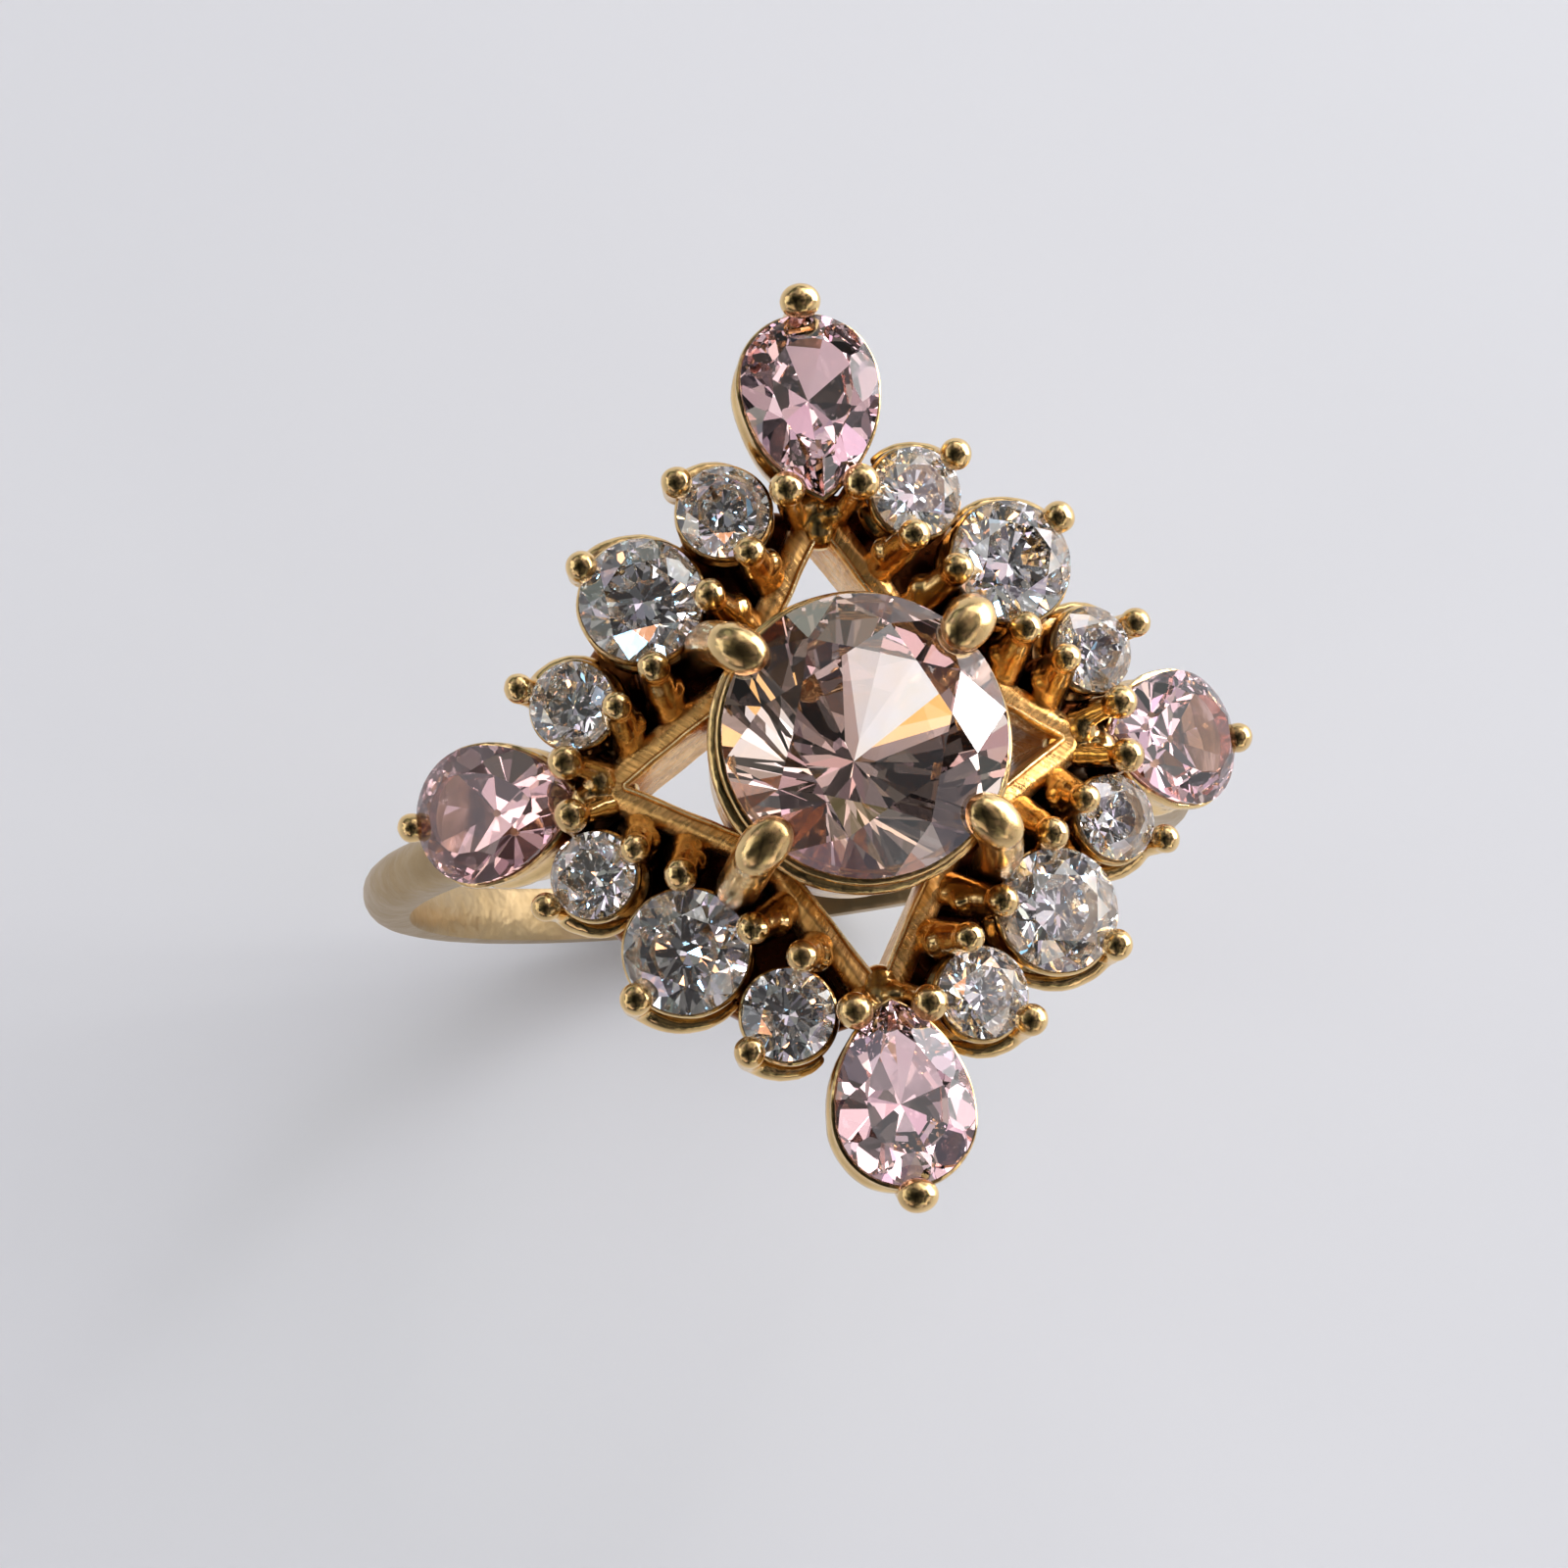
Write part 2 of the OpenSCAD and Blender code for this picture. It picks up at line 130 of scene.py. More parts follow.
def mix(nt, fac, a, b, mode="MIX"):
    m = nt.nodes.new("ShaderNodeMix")
    m.data_type = "RGBA"
    m.blend_type = mode
    for sock, val in ((m.inputs["Factor"], fac), (m.inputs[6], a), (m.inputs[7], b)):
        if isinstance(val, (int, float)):
            sock.default_value = val
        elif isinstance(val, tuple):
            sock.default_value = (*val, 1)
        else:
            nt.links.new(val, sock)
    return m.outputs[2]


def bump(nt, height, strength, depth_mm, below=None):
    b = nt.nodes.new("ShaderNodeBump")
    b.inputs["Strength"].default_value = strength
    b.inputs["Distance"].default_value = depth_mm * MM
    nt.links.new(height, b.inputs["Height"])
    if below:
        nt.links.new(below, b.inputs["Normal"])
    return b.outputs[0]


PALE_LINING_LIGHT = (0.92, 0.80, 0.62)                          # painted light: a fixed pale colour for the cup walls right under a stone
EDGE_HIGHLIGHT = (1.0, 0.80, 0.42)                           # painted highlight along the inner edge of a brushed bar


def brushed_face(nt, skin, warm, deep, lines, wall_shade):
    """Worn lines along a bar, a painted highlight on its inner edge, painted shade in a groove beside it and,
    if asked, painted shade on the walls.
    """
    split = nt.nodes.new("ShaderNodeSeparateXYZ")
    nt.links.new(millimetres(nt, uv=True), split.inputs[0])
    across = split.outputs["Y"]
    worn = ramp(nt, lines, [(0.36, grey(0.65)), (0.56, grey(0))])
    on_top = ramp(nt, across, [(0.6, grey(1)), (0.9, grey(0.35))])
    skin = mix(nt, mix(nt, 1.0, worn, on_top, "MULTIPLY"), skin, dimmed(0.4, warm))
    # painted highlight: a pale strip along the bar's inner edge
    edge_highlight = ramp(nt, across, [(0.0, grey(1)), (0.075, grey(1)), (0.1, grey(0))])
    skin = mix(nt, edge_highlight, skin, EDGE_HIGHLIGHT)
    # painted shade: a dark line in the groove beside the inner edge
    groove_shade = ramp(nt, across, [(0.1, grey(0)), (0.12, grey(0.8)), (0.15, grey(0))])
    skin = mix(nt, groove_shade, skin, deep)
    # painted shade: the walls darken below their top edge, as strongly as the given share
    if wall_shade:
        down = nt.nodes.new("ShaderNodeMath")        # the walls lie past 1 on the map, where a ramp ends
        down.operation = "MULTIPLY"
        down.inputs[1].default_value = 0.25
        nt.links.new(across, down.inputs[0])
        skin = mix(nt, ramp(nt, down.outputs[0], [(0.26, grey(0)), (0.42, grey(wall_shade))]), skin, deep)
    return skin


def gold(name, tones, rough, worn, reach=0.7, brushed=False, centre=(0.4, 0.4, 0.36), wall_shade=0.0):
    """Cast gold with painted shade and light: an occlusion mask darkens it, warmer towards hollows and brown
    in the deepest ones; unbrushed faces turned to the view get a painted dark reflection and grazing ones a
    painted sheen; cup walls under a stone get a painted pale light.
    """
    bright, warm, deep = tones
    m, nt, p = new_material(name)
    p.inputs["Metallic"].default_value = 1
    mm = millimetres(nt)
    ao = nt.nodes.new("ShaderNodeAmbientOcclusion")
    ao.samples = 12
    ao.inputs["Distance"].default_value = reach * MM
    cloud = noise_node(nt, mm, 1.3, 5)
    # painted shade: an ambient occlusion mask, 1 on open faces and 0 in hollows
    out_of_shade = ramp(nt, ao.outputs["AO"], [(0.18, grey(0)), (0.8, grey(1))])
    blotch = ramp(nt, cloud, [(0.35, grey(0)), (0.68, grey(1))])
    skin = mix(nt, blotch, bright, tuple(0.5 * (a + b) for a, b in zip(bright, warm)))
    # painted shade: the colour goes from warm to deep brown as a hollow closes in
    hollow_shade = mix(nt, ramp(nt, ao.outputs["AO"], [(0.02, grey(0)), (0.38, grey(1))]), deep, warm)
    grain = noise_node(nt, mm, 9, 6, 0.65)
    if brushed:
        lines = noise_node(nt, millimetres(nt, (7.5, 0.8, 1), uv=True), 1.0, 5, 0.7)
        skin = brushed_face(nt, skin, warm, deep, lines, wall_shade)
    else:
        # painted reflection: faces turned to the view darken towards the centre colour, like a mirrored dark
        # room, and grazing faces brighten as a painted sheen
        face = nt.nodes.new("ShaderNodeLayerWeight")
        face.inputs["Blend"].default_value = 0.5
        painted_reflection = ramp(nt, face.outputs["Facing"], [(0.02, centre), (0.3, grey(0.85)), (0.6, grey(1.15))])
        skin = mix(nt, 1.0, skin, painted_reflection, "MULTIPLY")
    specks = ramp(nt, grain, [(0.3, grey(0.3 if brushed else 0.12)), (0.45, grey(0))])
    skin = mix(nt, specks, skin, dimmed(0.5, warm))
    # painted light: cup walls under a stone take a fixed pale colour over the metal and its painted shade
    lit_lining = nt.nodes.new("ShaderNodeAttribute")
    lit_lining.attribute_name = "lit_lining"
    # the painted shade of the hollows replaces the skin colour where the metal is not open
    metal = mix(nt, out_of_shade, hollow_shade, skin)
    nt.links.new(mix(nt, lit_lining.outputs["Fac"], metal, PALE_LINING_LIGHT), p.inputs["Base Color"])
    lo, hi = rough
    nt.links.new(ramp(nt, cloud, [(0.3, grey(lo)), (0.75, grey(hi))]), p.inputs["Roughness"])
    relief = bump(nt, noise_node(nt, mm, 1.7, 2), 0.5 * worn, 0.16)
    relief = bump(nt, grain, (0.15 if brushed else 0.05) * worn, 0.02, relief)
    if brushed:
        relief = bump(nt, lines, 0.7, 0.04, relief)
    nt.links.new(relief, p.inputs["Normal"])
    return m


def gem(name, tint, tint_b, ior, clarity=1.0):
    """Clear faceted stone with a faint change of body colour through it."""
    m, nt, p = new_material(name)
    p.inputs["Transmission Weight"].default_value = clarity
    p.inputs["Roughness"].default_value = 0
    p.inputs["IOR"].default_value = ior
    cloud = noise_node(nt, millimetres(nt), 1.6, 3)
    nt.links.new(ramp(nt, cloud, [(0.35, tint), (0.65, tint_b)]), p.inputs["Base Color"])
    return m


# colour on open faces, then painted shade towards hollows and in the deepest hollows
CAST_TONES_AND_SHADE = ((0.88, 0.63, 0.30), (0.52, 0.32, 0.125), (0.13, 0.045, 0.013))
BAR_TONES_AND_SHADE = ((1.0, 0.60, 0.215), (0.62, 0.31, 0.085), (0.14, 0.046, 0.013))
# a much darker copy of the gold for the gallery deep under the stones: painted shade
SHADED_HOLLOW_TONES = ((0.24, 0.088, 0.022), (0.11, 0.036, 0.01), (0.04, 0.013, 0.005))
BAND_TONES_AND_SHADE = ((0.43, 0.315, 0.175), (0.36, 0.245, 0.11), (0.24, 0.14, 0.05))
PINK_IOR, CLEAR_IOR = 1.76, 2.17

GOLD = gold("polished_gold", CAST_TONES_AND_SHADE, (0.15, 0.27), worn=0.7, reach=1.1)
SATIN = gold("satin_gold", CAST_TONES_AND_SHADE, (0.19, 0.3), worn=0.45, reach=1.1)
FRAME = gold("frame_gold", BAR_TONES_AND_SHADE, (0.2, 0.38), worn=1.0, brushed=True)
# the east arm's copy of the frame gold, with painted shade on its walls
EAST_FRAME_SHADED = gold("east_frame_gold_shaded_walls", BAR_TONES_AND_SHADE, (0.2, 0.38), worn=1.0, brushed=True, wall_shade=0.85)
SHADED_HOLLOW = gold("shaded_hollow_gold", SHADED_HOLLOW_TONES, (0.2, 0.36), worn=0.8, reach=1.4)
# the band's painted dark reflection is weaker
BAND = gold("band_gold", BAND_TONES_AND_SHADE, (0.3, 0.44), worn=0.6, centre=(0.8, 0.8, 0.8))
PINK = gem("pink_stone", (0.97, 0.65, 0.53), (0.95, 0.67, 0.60), PINK_IOR)
ROSE = gem("rose_stone", (0.95, 0.66, 0.68), (0.92, 0.60, 0.64), PINK_IOR)
MAUVE = gem("mauve_stone", (0.80, 0.50, 0.45), (0.72, 0.44, 0.47), PINK_IOR, clarity=0.93)
CLEAR = gem("clear_stone", (0.99, 0.98, 0.99), (0.97, 0.965, 0.99), CLEAR_IOR)

# ------------------------------------------------------------ mesh helpers
LINED = set()                                        # points of the cup walls that lie right under a stone, which get the painted pale light
BROAD_WAVES, SMALL_WAVES = 1.4, 3.6                  # unevenness of a casting, per millimetre


def spot(p):
    return round(p.x, 3), round(p.y, 3), round(p.z, 3)


def name_number(name):
    """A number from 0 to 1 that belongs to the name, so that no two castings are uneven alike."""
    return (sum((i + 1) * ord(c) for i, c in enumerate(name)) % 97) / 97


def finish_piece(bm, name, mat, replaces=(), mirror=(1, 1), sharp=38, rough_cast=0.0, flat=False):
    """Turns a millimetre bmesh into a named piece that rides on the root body."""
    me = bpy.data.meshes.new(name)
    bm.to_mesh(me)
    flip_x, flip_y = mirror
    # marks the points that get the painted pale light under a stone
    under = [1.0 if spot(v.co) in LINED else 0.0 for v in me.vertices]
    if any(under):
        me.attributes.new("lit_lining", "FLOAT", "POINT").data.foreach_set("value", under)
    me.transform(Matrix.Diagonal((flip_x, flip_y, 1, 1)))
    if rough_cast:
        seed = V((name_number(name) * 7.3, name_number(name) * 3.1, 0))
        for v in me.vertices:
            broad = noise.noise_vector(v.co * BROAD_WAVES + seed) * rough_cast
            small = noise.noise_vector(v.co * SMALL_WAVES + seed) * rough_cast * 0.1
            v.co += broad + small
    me.transform(Matrix.Diagonal((MM, MM, MM, 1)))
    if flip_x * flip_y < 0:
        me.flip_normals()
    if flat:
        me.shade_flat()
    else:
        me.shade_smooth()
        me.set_sharp_from_angle(angle=rad(sharp))
    me.materials.append(mat)
    ob = bpy.data.objects.new("v_" + name, me)
    scene.collection.objects.link(ob)
    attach(ob, "root")
    if replaces:
        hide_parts(*replaces)
    return ob


def rings(bm, loops, wrap=False):
    """Skins a list of closed loops of points. It closes the two ends, or joins the last loop to the first."""
    rows = [[bm.verts.new(p) for p in loop] for loop in loops]
    n = len(rows[0])
    last = len(rows) if wrap else len(rows) - 1
    for i in range(last):
        a, b = rows[i], rows[(i + 1) % len(rows)]
        for k in range(n):
            bm.faces.new((a[k], a[(k + 1) % n], b[(k + 1) % n], b[k]))
    if not wrap:
        bm.faces.new(rows[0][::-1])
        bm.faces.new(rows[-1])
    return rows


def smooth_path(pts, radii, steps):
    """A spline through the points, as (point, radius) pairs, with the radii eased between them."""
    out = []
    n = len(pts)
    for i in range(n - 1):
        p0, p1, p2, p3 = pts[max(i - 1, 0)], pts[i], pts[i + 1], pts[min(i + 2, n - 1)]
        for k in range(steps):
            t = k / steps
            q = 0.5 * (2 * p1 + (p2 - p0) * t + (2 * p0 - 5 * p1 + 4 * p2 - p3) * t * t
                       + (3 * p1 - p0 - 3 * p2 + p3) * t ** 3)
            u = t * t * (3 - 2 * t)
            out.append((q, radii[i] * (1 - u) + radii[i + 1] * u))
    out.append((pts[-1], radii[-1]))
    return out


def tube(bm, pts, radii, n=16):
    """A round bar of changing thickness along a smooth path, with round ends."""
    path = smooth_path([V(p) for p in pts], radii, 5)
    tang = []
    for i in range(len(path)):
        a, b = path[max(i - 1, 0)][0], path[min(i + 1, len(path) - 1)][0]
        tang.append((b - a).normalized())
    side = tang[0].orthogonal().normalized()
    caps = [rad(90 * j / 4.4) for j in (1, 2, 3, 4)]  # the rings of a round end, short of its pole
    (first, first_r), (final, final_r) = path[0], path[-1]
    loops = []

    def loop(c, t, s, r):
        w = t.cross(s)
        return [c + (s * math.cos(TURN * k / n) + w * math.sin(TURN * k / n)) * r for k in range(n)]

    for a in caps[::-1]:
        loops.append(loop(first - tang[0] * first_r * math.sin(a), tang[0], side, first_r * math.cos(a)))
    for (c, r), t in zip(path, tang):
        side = (side - t * side.dot(t)).normalized()
        loops.append(loop(c, t, side, r))
    for a in caps:
        loops.append(loop(final + tang[-1] * final_r * math.sin(a), tang[-1], side, final_r * math.cos(a)))
    rings(bm, loops)


def ball(bm, c, r, squash=(1, 1, 1)):
    m = Matrix.Translation(V(c)) @ Matrix.Diagonal((*squash, 1))
    bmesh.ops.create_icosphere(bm, subdivisions=4, radius=r, matrix=m)


def lathe(bm, profile, n, matrix=None, lined=True):
    """A closed (radius, height) profile turned about Z. If lined, its ends lie right under a stone."""
    loops = []
    for k in range(n):
        a = TURN * k / n
        loops.append([V((r * math.cos(a), r * math.sin(a), z)) for r, z in profile])
    if matrix:
        loops = [[matrix @ p for p in lp] for lp in loops]
    if lined:
        LINED.update(spot(lp[i]) for lp in loops for i in (0, -1))
    rings(bm, loops, wrap=True)


def fuse(bm, voxel=0.045, passes=7):
    """Melts overlapping closed shapes into one soft casting."""
    bmesh.ops.recalc_face_normals(bm, faces=bm.faces[:])
    me = bpy.data.meshes.new("melt")
    bm.to_mesh(me)
    ob = bpy.data.objects.new("melt", me)
    scene.collection.objects.link(ob)
    mod = ob.modifiers.new("melt", "REMESH")
    mod.mode = "VOXEL"
    mod.voxel_size = voxel
    deps = bpy.context.evaluated_depsgraph_get()
    done = bpy.data.meshes.new_from_object(ob.evaluated_get(deps))
    bpy.data.objects.remove(ob)
    out = bmesh.new()
    out.from_mesh(done)
    bpy.data.meshes.remove(done)
    bpy.data.meshes.remove(me)
    for _ in range(passes):
        bmesh.ops.smooth_vert(out, verts=out.verts[:], factor=0.5,
                              use_axis_x=True, use_axis_y=True, use_axis_z=True)
    return out


def join(*parts):
    """Puts several bmeshes into one, without melting them."""
    out = bmesh.new()
    for b in parts:
        me = bpy.data.meshes.new("tmp")
        b.to_mesh(me)
        out.from_mesh(me)
        bpy.data.meshes.remove(me)
    return out


# ------------------------------------------------------------------ stones
# sizes of a cut as shares of the stone's width
TABLE, CROWN, GIRDLE, PAVILION = 0.57, 0.15, 0.03, 0.43
FOLD = 8                                             # main facets of a round cut


def through(a, b, c):
    """Plane (normal, distance) through three points, facing away from the stone's middle."""
    n = (b - a).cross(c - a).normalized()
    d = n.dot(a)
    return (n, d) if d > 0 else (-n, -d)


def cut_stone(outline, top, bottom, planes):
    """An upright block on the outline, cut down plane by plane."""
    bm = bmesh.new()
    lo = [bm.verts.new((x, y, bottom)) for x, y in outline]
    hi = [bm.verts.new((x, y, top)) for x, y in outline]
    n = len(lo)
    for k in range(n):
        bm.faces.new((lo[k], lo[(k + 1) % n], hi[(k + 1) % n], hi[k]))
    bm.faces.new(lo[::-1])
    bm.faces.new(hi)
    for nrm, d in planes:
        bmesh.ops.bisect_plane(bm, geom=bm.verts[:] + bm.edges[:] + bm.faces[:], dist=1e-5,
                               plane_co=nrm * d, plane_no=nrm, clear_outer=True)
        rim = [e for e in bm.edges if e.is_boundary]
        if rim:
            bmesh.ops.holes_fill(bm, edges=rim, sides=0)
    bmesh.ops.remove_doubles(bm, verts=bm.verts[:], dist=1e-4)
    bmesh.ops.recalc_face_normals(bm, faces=bm.faces[:])
    return bm


def round_stone(d, n, turn, keel=0.22):
    """A round brilliant. keel is how far the lower halves stop from the point below."""
    r = d / 2
    g, hc, hp = GIRDLE * d, CROWN * d, PAVILION * d
    step, half = 360 / FOLD, 180 / FOLD

    def polar(q, a, z):
        return V((q * math.cos(rad(a + turn)), q * math.sin(rad(a + turn)), z))

    rt = TABLE * r
    rm = (rt * math.cos(rad(half)) + r) / 2
    zm = g + hc * (r - rm * math.cos(rad(half))) / (r - rt)
    rl = keel * r
    zl = -hp * (1 - rl * math.cos(rad(half)) / r)
    culet = V((0, 0, -hp))
    planes = [(V((0, 0, 1)), g + hc)]
    for k in range(FOLD):
        a = step * k
        t0, t1 = polar(rt, a, g + hc), polar(rt, a + step, g + hc)
        m0, m1 = polar(rm, a - half, zm), polar(rm, a + half, zm)
        planes.append(through(t0, m0, m1))                                        # main
        planes.append(through(t0, t1, m1))                                        # star
        planes.append(through(m1, polar(r, a, g), polar(r, a + half, g)))         # upper halves
        planes.append(through(m1, polar(r, a + half, g), polar(r, a + step, g)))
        l0, l1 = polar(rl, a - half, zl), polar(rl, a + half, zl)
        planes.append(through(culet, l0, l1))                                     # pavilion main
        planes.append(through(l1, polar(r, a, 0), polar(r, a + half, 0)))         # lower halves
        planes.append(through(l1, polar(r, a + half, 0), polar(r, a + step, 0)))
    ring = [(r * math.cos(rad(360 * k / n + turn)), r * math.sin(rad(360 * k / n + turn))) for k in range(n)]
    return cut_stone(ring, g + hc + 0.1, -hp - 0.1, planes)


# a pear outline: half a circle and two larger arcs that meet in a point
PEAR_L, PEAR_W = 4.0, 3.0
PEAR_SIDE = ((PEAR_W / 2) ** 2 + (PEAR_L - PEAR_W / 2) ** 2) / PEAR_W
PEAR_C = PEAR_L / 2 - PEAR_W / 2
PEAR_OFF = PEAR_SIDE - PEAR_W / 2
CROWN_TILT, HALF_TILT, STAR_TILT = 35, 42.5, 21      # slopes of the facets above the girdle


def pear_point(a, grow=0.0):
    """Point of the pear's outline whose outward direction is a degrees, round end at +Y."""
    a = (a + 90) % 360 - 90
    r, q = PEAR_W / 2 + grow, PEAR_SIDE + grow
    sweep = math.degrees(math.acos(PEAR_OFF / q))
    if 0 <= a <= 180:
        return V((r * math.cos(rad(a)), PEAR_C + r * math.sin(rad(a)), 0))
    if -sweep <= a < 0:
        return V((q * math.cos(rad(a)) - PEAR_OFF, PEAR_C + q * math.sin(rad(a)), 0))
    if 180 < a <= 180 + sweep:
        return V((q * math.cos(rad(a)) + PEAR_OFF, PEAR_C + q * math.sin(rad(a)), 0))
    return V((0, PEAR_C - q * math.sin(rad(sweep)), 0))


def pear_ring(grow, n):
    sweep = math.degrees(math.acos(PEAR_OFF / (PEAR_SIDE + grow)))
    span = 180 + 2 * sweep
    return [pear_point(-sweep + span * k / n, grow) for k in range(n + 1)]


def both_sides(angles):
    """Each direction followed by its mirror image across the pear's length."""
    return [b for a in angles for b in (a, 180 - a)]


def pear_stone():
    g = GIRDLE * PEAR_W * 1.3
    hc, hp = CROWN * PEAR_W, PAVILION * PEAR_W
    culet = V((0, PEAR_C - 0.3, -hp))
    mains = [90] + both_sides((45, 3, -32, -62))
    halves = both_sides((67, 78, 57, 24, 34, 14, -14, -6, -22, -46, -53, -39))
    stars = both_sides((67.5, 24, -15, -48))
    planes = [(V((0, 0, 1)), g + hc)]
    inset = hc / math.tan(rad(CROWN_TILT))

    def outward(a):
        return V((math.cos(rad(a)), math.sin(rad(a)), 0))

    def slope(a, tilt, at, z):
        """Plane that faces a degrees round and tilt degrees off the vertical, through a point."""
        nrm = V((math.sin(rad(tilt)) * math.cos(rad(a)), math.sin(rad(tilt)) * math.sin(rad(a)),
                 math.cos(rad(tilt))))
        return nrm, nrm.dot(V((at.x, at.y, z)))

    def pavilion_tilt(a):
        """Tilt of the facet that runs from the girdle down to the point below."""
        reach = pear_point(a).dot(outward(a)) - culet.dot(outward(a))
        return 180 - math.degrees(math.atan2(hp, reach))

    for a in mains:
        planes.append(slope(a, CROWN_TILT, pear_point(a), g))
        planes.append(slope(a, pavilion_tilt(a), pear_point(a), 0))
    for a in halves:
        planes.append(slope(a, HALF_TILT, pear_point(a), g))
        planes.append(slope(a, pavilion_tilt(a) - 4.5, pear_point(a), 0))
    for a in stars:
        planes.append(slope(a, STAR_TILT, pear_point(a) - outward(a) * inset * 0.99, g + hc))
    ring = [(p.x, p.y) for p in pear_ring(0, 48)]
    return cut_stone(ring, g + hc + 0.1, -hp - 0.1, planes)


# ----------------------------------------------------------------- layout
# North-east quarter of the design. A cluster has a place and a lean towards
# east and north, the bead of its outer prong and the tips of its inner ones.
STAR_R, BAND_R = 13.0, 9.7
CENTRE, CENTRE_D = V((0, 0, 15.35)), 6.15
PEAR_N, PEAR_E, PEAR_TILT = V((0, 7.5, 14.05)), V((7.5, 0, 10.45)), 38
LARGE = dict(d=2.7, p=V((4.07, 3.85, 12.95)), tilt=(11.5, 3), depth=1.95,
             out=V((5.25, 4.73, 12.84)), r=0.37, tail=88,
             ins=[V((2.72, 3.63, 13.92)), V((4.06, 2.26, 13.58))])
SMALL_A = dict(d=2.0, p=V((2.12, 5.5, 13.4)), tilt=(9.5, 1.5), depth=2.05,
               out=V((3.06, 6.22, 13.54)), r=0.36, tail=80,
               ins=[V((1.8, 4.4, 14.36))])
SMALL_B = dict(d=1.9, p=V((5.75, 1.87, 12.1)), tilt=(23, 0), depth=1.75,
               out=V((6.82, 2.4, 11.8)), r=0.34, tail=84,
               ins=[V((4.92, 1.55, 13.29))])
QUARTERS = {"ne": (1, 1), "nw": (-1, 1), "se": (1, -1), "sw": (-1, -1)}
# a bar's distance from the centre, and a tie's depth below the top of the bar
BAR_MIDDLE, TIE_DEEP = 2.98, 0.62


def placed(p, tilt):
    east, north = tilt
    return Matrix.Translation(p) @ Matrix.Rotation(rad(east), 4, "Y") @ Matrix.Rotation(rad(-north), 4, "X")


def tie_foot(p):
    """Point on the side of the nearest star bar that an inner prong's tie runs back to."""
    c, s = math.cos(rad(30)), math.sin(rad(30))
    if p.y > p.x:
        g = p.x * c + p.y * s - BAR_MIDDLE
        return V((p.x - g * c, p.y - g * s, STAR_R - TIE_DEEP))
    g = p.x * s + p.y * c - BAR_MIDDLE
    x = p.x - g * s
    return V((x, p.y - g * c, math.sqrt((STAR_R - TIE_DEEP) ** 2 - x * x)))


def round_cup(spec):
    """Cup of two rails with a waist between them, open below."""
    d, at, depth = spec["d"], placed(spec["p"], spec["tilt"]), spec["depth"]
    r, hp = d / 2, PAVILION * d
    bm = bmesh.new()
    lathe(bm, [(r * (1 - 0.12 / hp), -0.12), (r + 0.02, -0.1), (r + 0.06, -0.13), (r + 0.08, -0.2),
               (r + 0.06, -0.28), (r + 0.01, -0.33), (r - 0.1, -0.37), (r - 0.13, -0.45),
               (r - 0.14, -0.82), (r - 0.08, -0.88), (r + 0.02, -0.92), (r + 0.06, -1.0),
               (r + 0.06, -1.13), (r + 0.01, -1.22), (r - 0.18, -1.28), (r - 0.24, -1.4),
               (r - 0.3, -depth), (0.5 * r, -depth), (0.5 * r, -0.5 * hp)], 64, at)
    return bm


def round_prongs(spec):
    """The outer prong with its tail round the cup, and the inner prongs with their ties, melted together."""
    bm = bmesh.new()
    at = placed(spec["p"], spec["tilt"])
    r = spec["d"] / 2
    local = at.inverted() @ spec["out"]
    a0 = math.degrees(math.atan2(local.y, local.x))
    pts, rads = [], []
    for k in range(6):
        f = k / 5
        a = a0 + spec["tail"] * (1 - f)
        q = r + 0.09 + 0.1 * f
        pts.append(at @ V((q * math.cos(rad(a)), q * math.sin(rad(a)), -0.98 + 0.26 * f * f)))
        rads.append(0.13 + 0.19 * f)
    a = rad(a0)
    pts.append(at @ V(((r + 0.22) * math.cos(a), (r + 0.22) * math.sin(a), -0.5)))
    rads.append(0.31)
    pts.append(spec["out"] - V((0, 0, 0.12)))
    rads.append(0.3)
    tube(bm, pts, rads)
    ball(bm, spec["out"], spec["r"], (1, 1, 0.92))
    for tip in spec["ins"]:
        foot = tie_foot(tip)
        mid = foot.lerp(tip, 0.6) - V((0, 0, 0.12))
        tube(bm, [foot, mid, tip - V((0, 0, 0.2))], [0.46, 0.37, 0.3])
        for k, f in enumerate((0.12, 0.5)):
            ball(bm, foot.lerp(tip, f) + V((0.16 * (-1) ** k, 0.1, -0.1)), 0.4 - 0.12 * f)
        local = at.inverted() @ tip
        a = math.atan2(local.y, local.x)
        tube(bm, [at @ V((r * math.cos(a), r * math.sin(a), -1.1)),
                  at @ V(((r + 0.12) * math.cos(a), (r + 0.12) * math.sin(a), -0.5)),
                  tip - V((0, 0, 0.1))], [0.26, 0.25, 0.25])
        ball(bm, tip, spec["r"], (1, 1, 0.95))
    return fuse(bm)


# ------------------------------------------------------- band and shoulders
BORE_R, BAND_W, BAND_T = 8.65, 1.3, 1.05
GAP = 40                                             # half angle at the top where the band is open
END_SWELL, END_ROUND = 25, 5                         # degrees over which an end swells and rounds off


def half_round(w, t):
    """Band section as (outward, across): flat inside, crowned outside."""
    pts = [(0.0, -w / 2 + 0.12), (0.05, -w / 2 + 0.02)]
    for k in range(13):
        a = -90 + 180 * k / 12
        crown = (t - 0.3) * math.cos(rad(a)) ** 0.8 if abs(a) < 90 else 0.0
        pts.append((0.3 + crown, w / 2 * math.sin(rad(a))))
    pts += [(0.05, w / 2 - 0.02), (0.0, w / 2 - 0.12)]
    return pts


